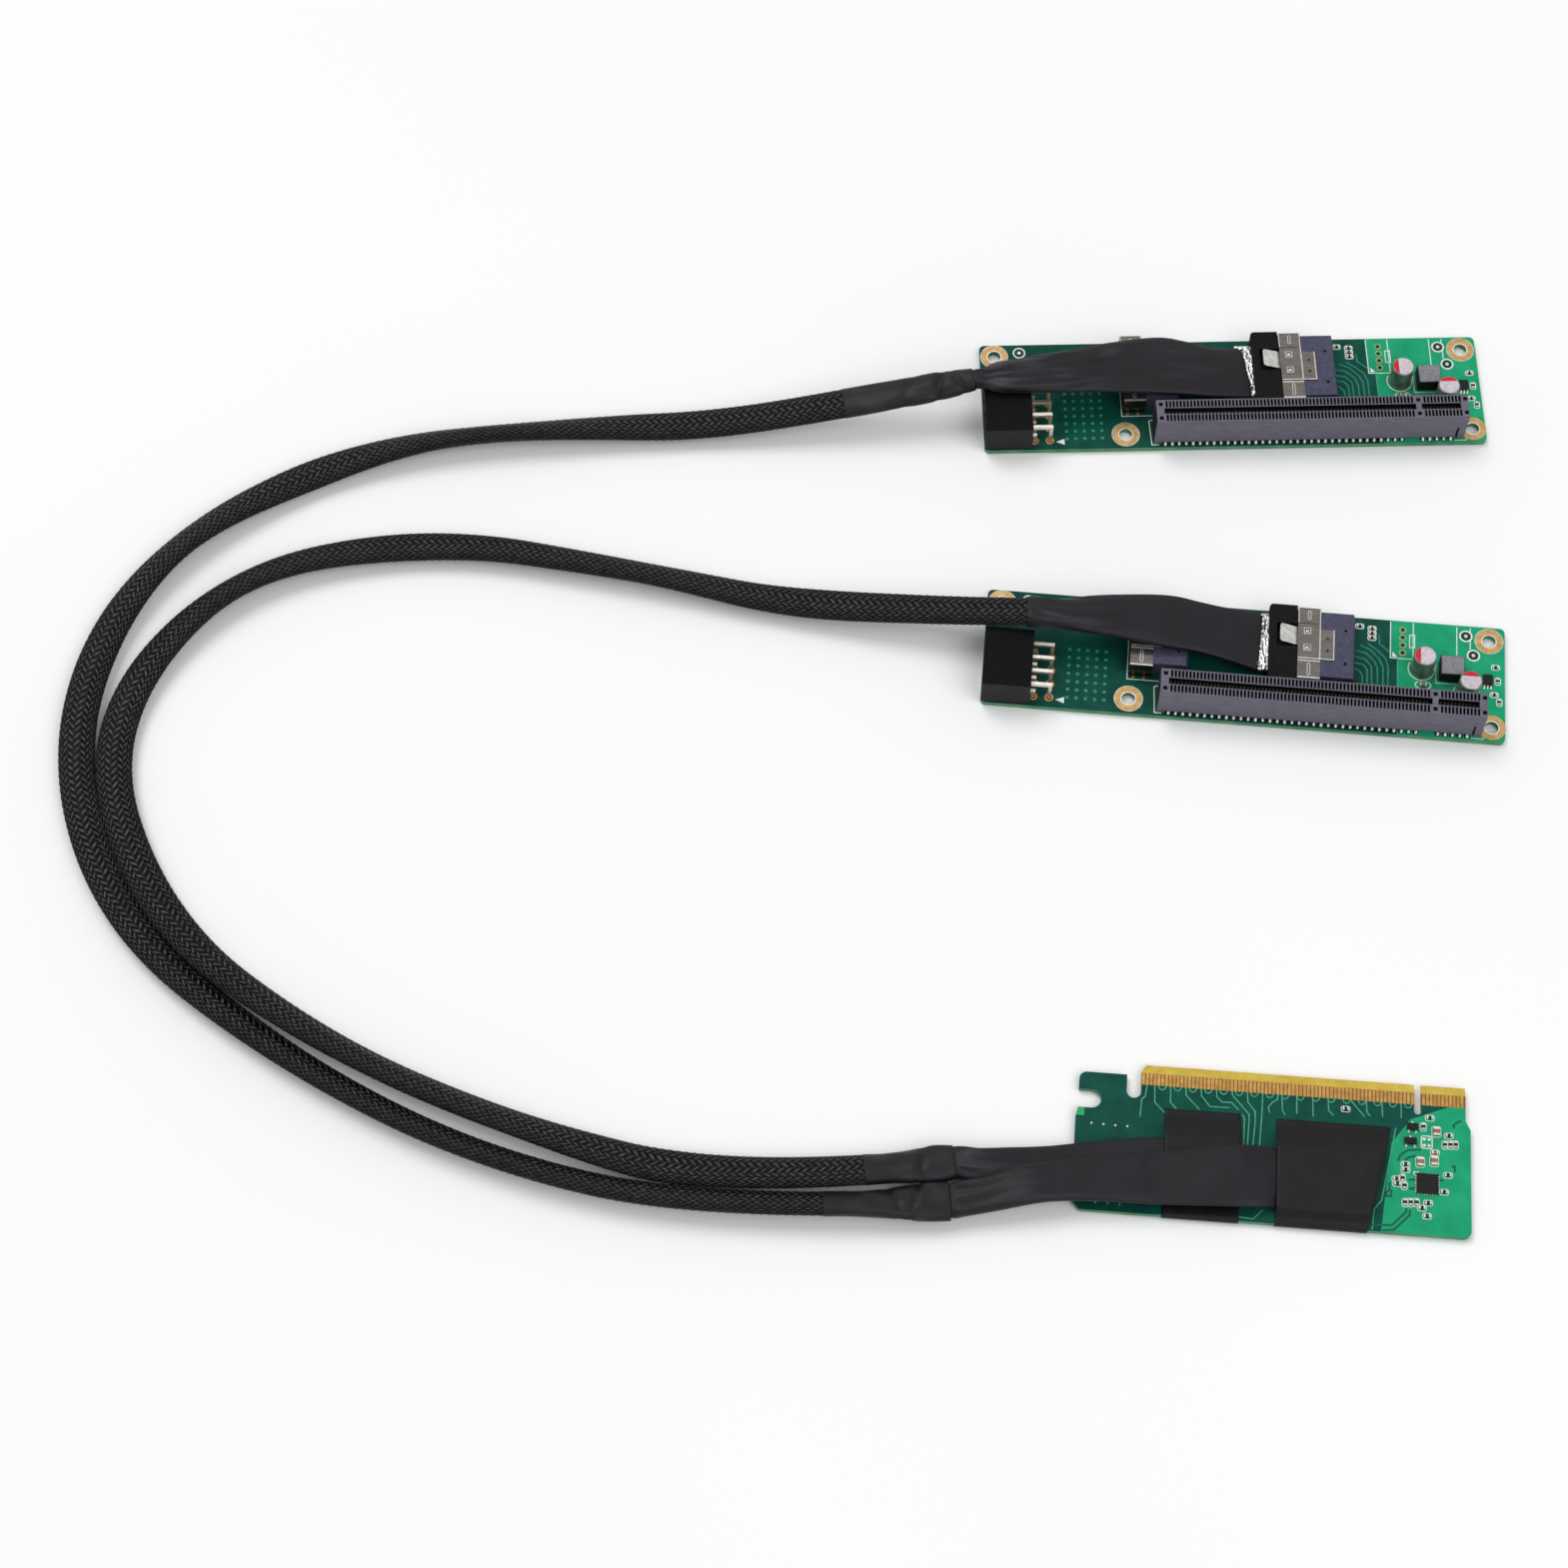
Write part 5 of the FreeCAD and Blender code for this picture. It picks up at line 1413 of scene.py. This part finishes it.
def tape(number):
    left, right, right_front, rear, over_front, over_rear, height = TAPES[number]
    columns = int((right - left) / TAPE_COLUMN)
    below = [(y, TAPE_LOW) for y in np.linspace(UNDER_FRONT, TAPE_UNDER, UNDER_ROWS)]
    points = []
    for c in range(columns + 1):
        share = c / columns
        top = tape_top(rear, over_front, over_rear, height, left + share * (right - left))
        inside = [(y, z - TAPE_INNER) for y, z in top] + FOLD_INSIDE
        for y, z in top + FOLD_OUTSIDE + below + inside[::-1]:
            edge = right_front + (right - right_front) * (y - HOST_FRONT) / (rear - HOST_FRONT)
            points.append(HOST.point(left + share * (edge - left), y, z))
    around = len(points) // (columns + 1)
    made = piece("tape_%d" % number, points, ring_faces(columns + 1, around), TAPE_LOOK)
    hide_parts("host_tape_%d" % number)


for number in NUMBERS:
    tape(number)

# Stage: pale floor, white surroundings, soft lamps
FLOOR_HALF, FLOOR_DROP = 3.0, 0.0003
floor_mesh = bpy.data.meshes.new("floor")
floor_corners = rectangle(-FLOOR_HALF, -FLOOR_HALF, FLOOR_HALF, FLOOR_HALF)[:4]
floor_mesh.from_pydata([(x, y, 0) for x, y in floor_corners], [], [(0, 1, 2, 3)])
floor = placed("floor", floor_mesh)
floor.location.z = -FLOOR_DROP
floor_look = Look("floor", rough=0.9, shine=0.1)
floor_look.paint(floor_look.tones(floor_look.noise(400.0), (246, 246, 246), (249, 249, 249)))
floor_mesh.materials.append(floor_look.material)

# Surroundings that are white where the camera, a reflection or clear glass looks, and softer as a light
AMBIENT = 0.5
world = bpy.data.worlds.new("studio")
SCENE.world = world
world.use_nodes = True
sky = Nodes(world.node_tree)
background = world.node_tree.nodes["Background"]
background.inputs["Color"].default_value = (1, 1, 1, 1)
rays = sky.node("ShaderNodeLightPath").outputs
seen = sky.math("MAXIMUM", rays["Is Camera Ray"], rays["Is Glossy Ray"])
seen = sky.math("MAXIMUM", seen, rays["Is Transmission Ray"])
level = sky.math("ADD", sky.math("MULTIPLY", seen, 1.0 - AMBIENT), AMBIENT)
sky.put(level, background.inputs["Strength"])


def lamp(name, place, spread, power):
    """Even soft light that comes from the direction of a place; spread is its width in degrees."""
    data = bpy.data.lights.new(name, "SUN")
    data.angle = math.radians(spread)
    data.energy = power
    made = placed(name, data)
    made.location = place
    made.rotation_euler = (-Vector(place)).to_track_quat("-Z", "Y").to_euler()


lamp("key", (-0.83, 0.85, 2.0), spread=33.0, power=1.18)
lamp("fill", (1.02, -1.05, 1.75), spread=43.0, power=0.91)

SCENE.view_settings.view_transform = "Standard"
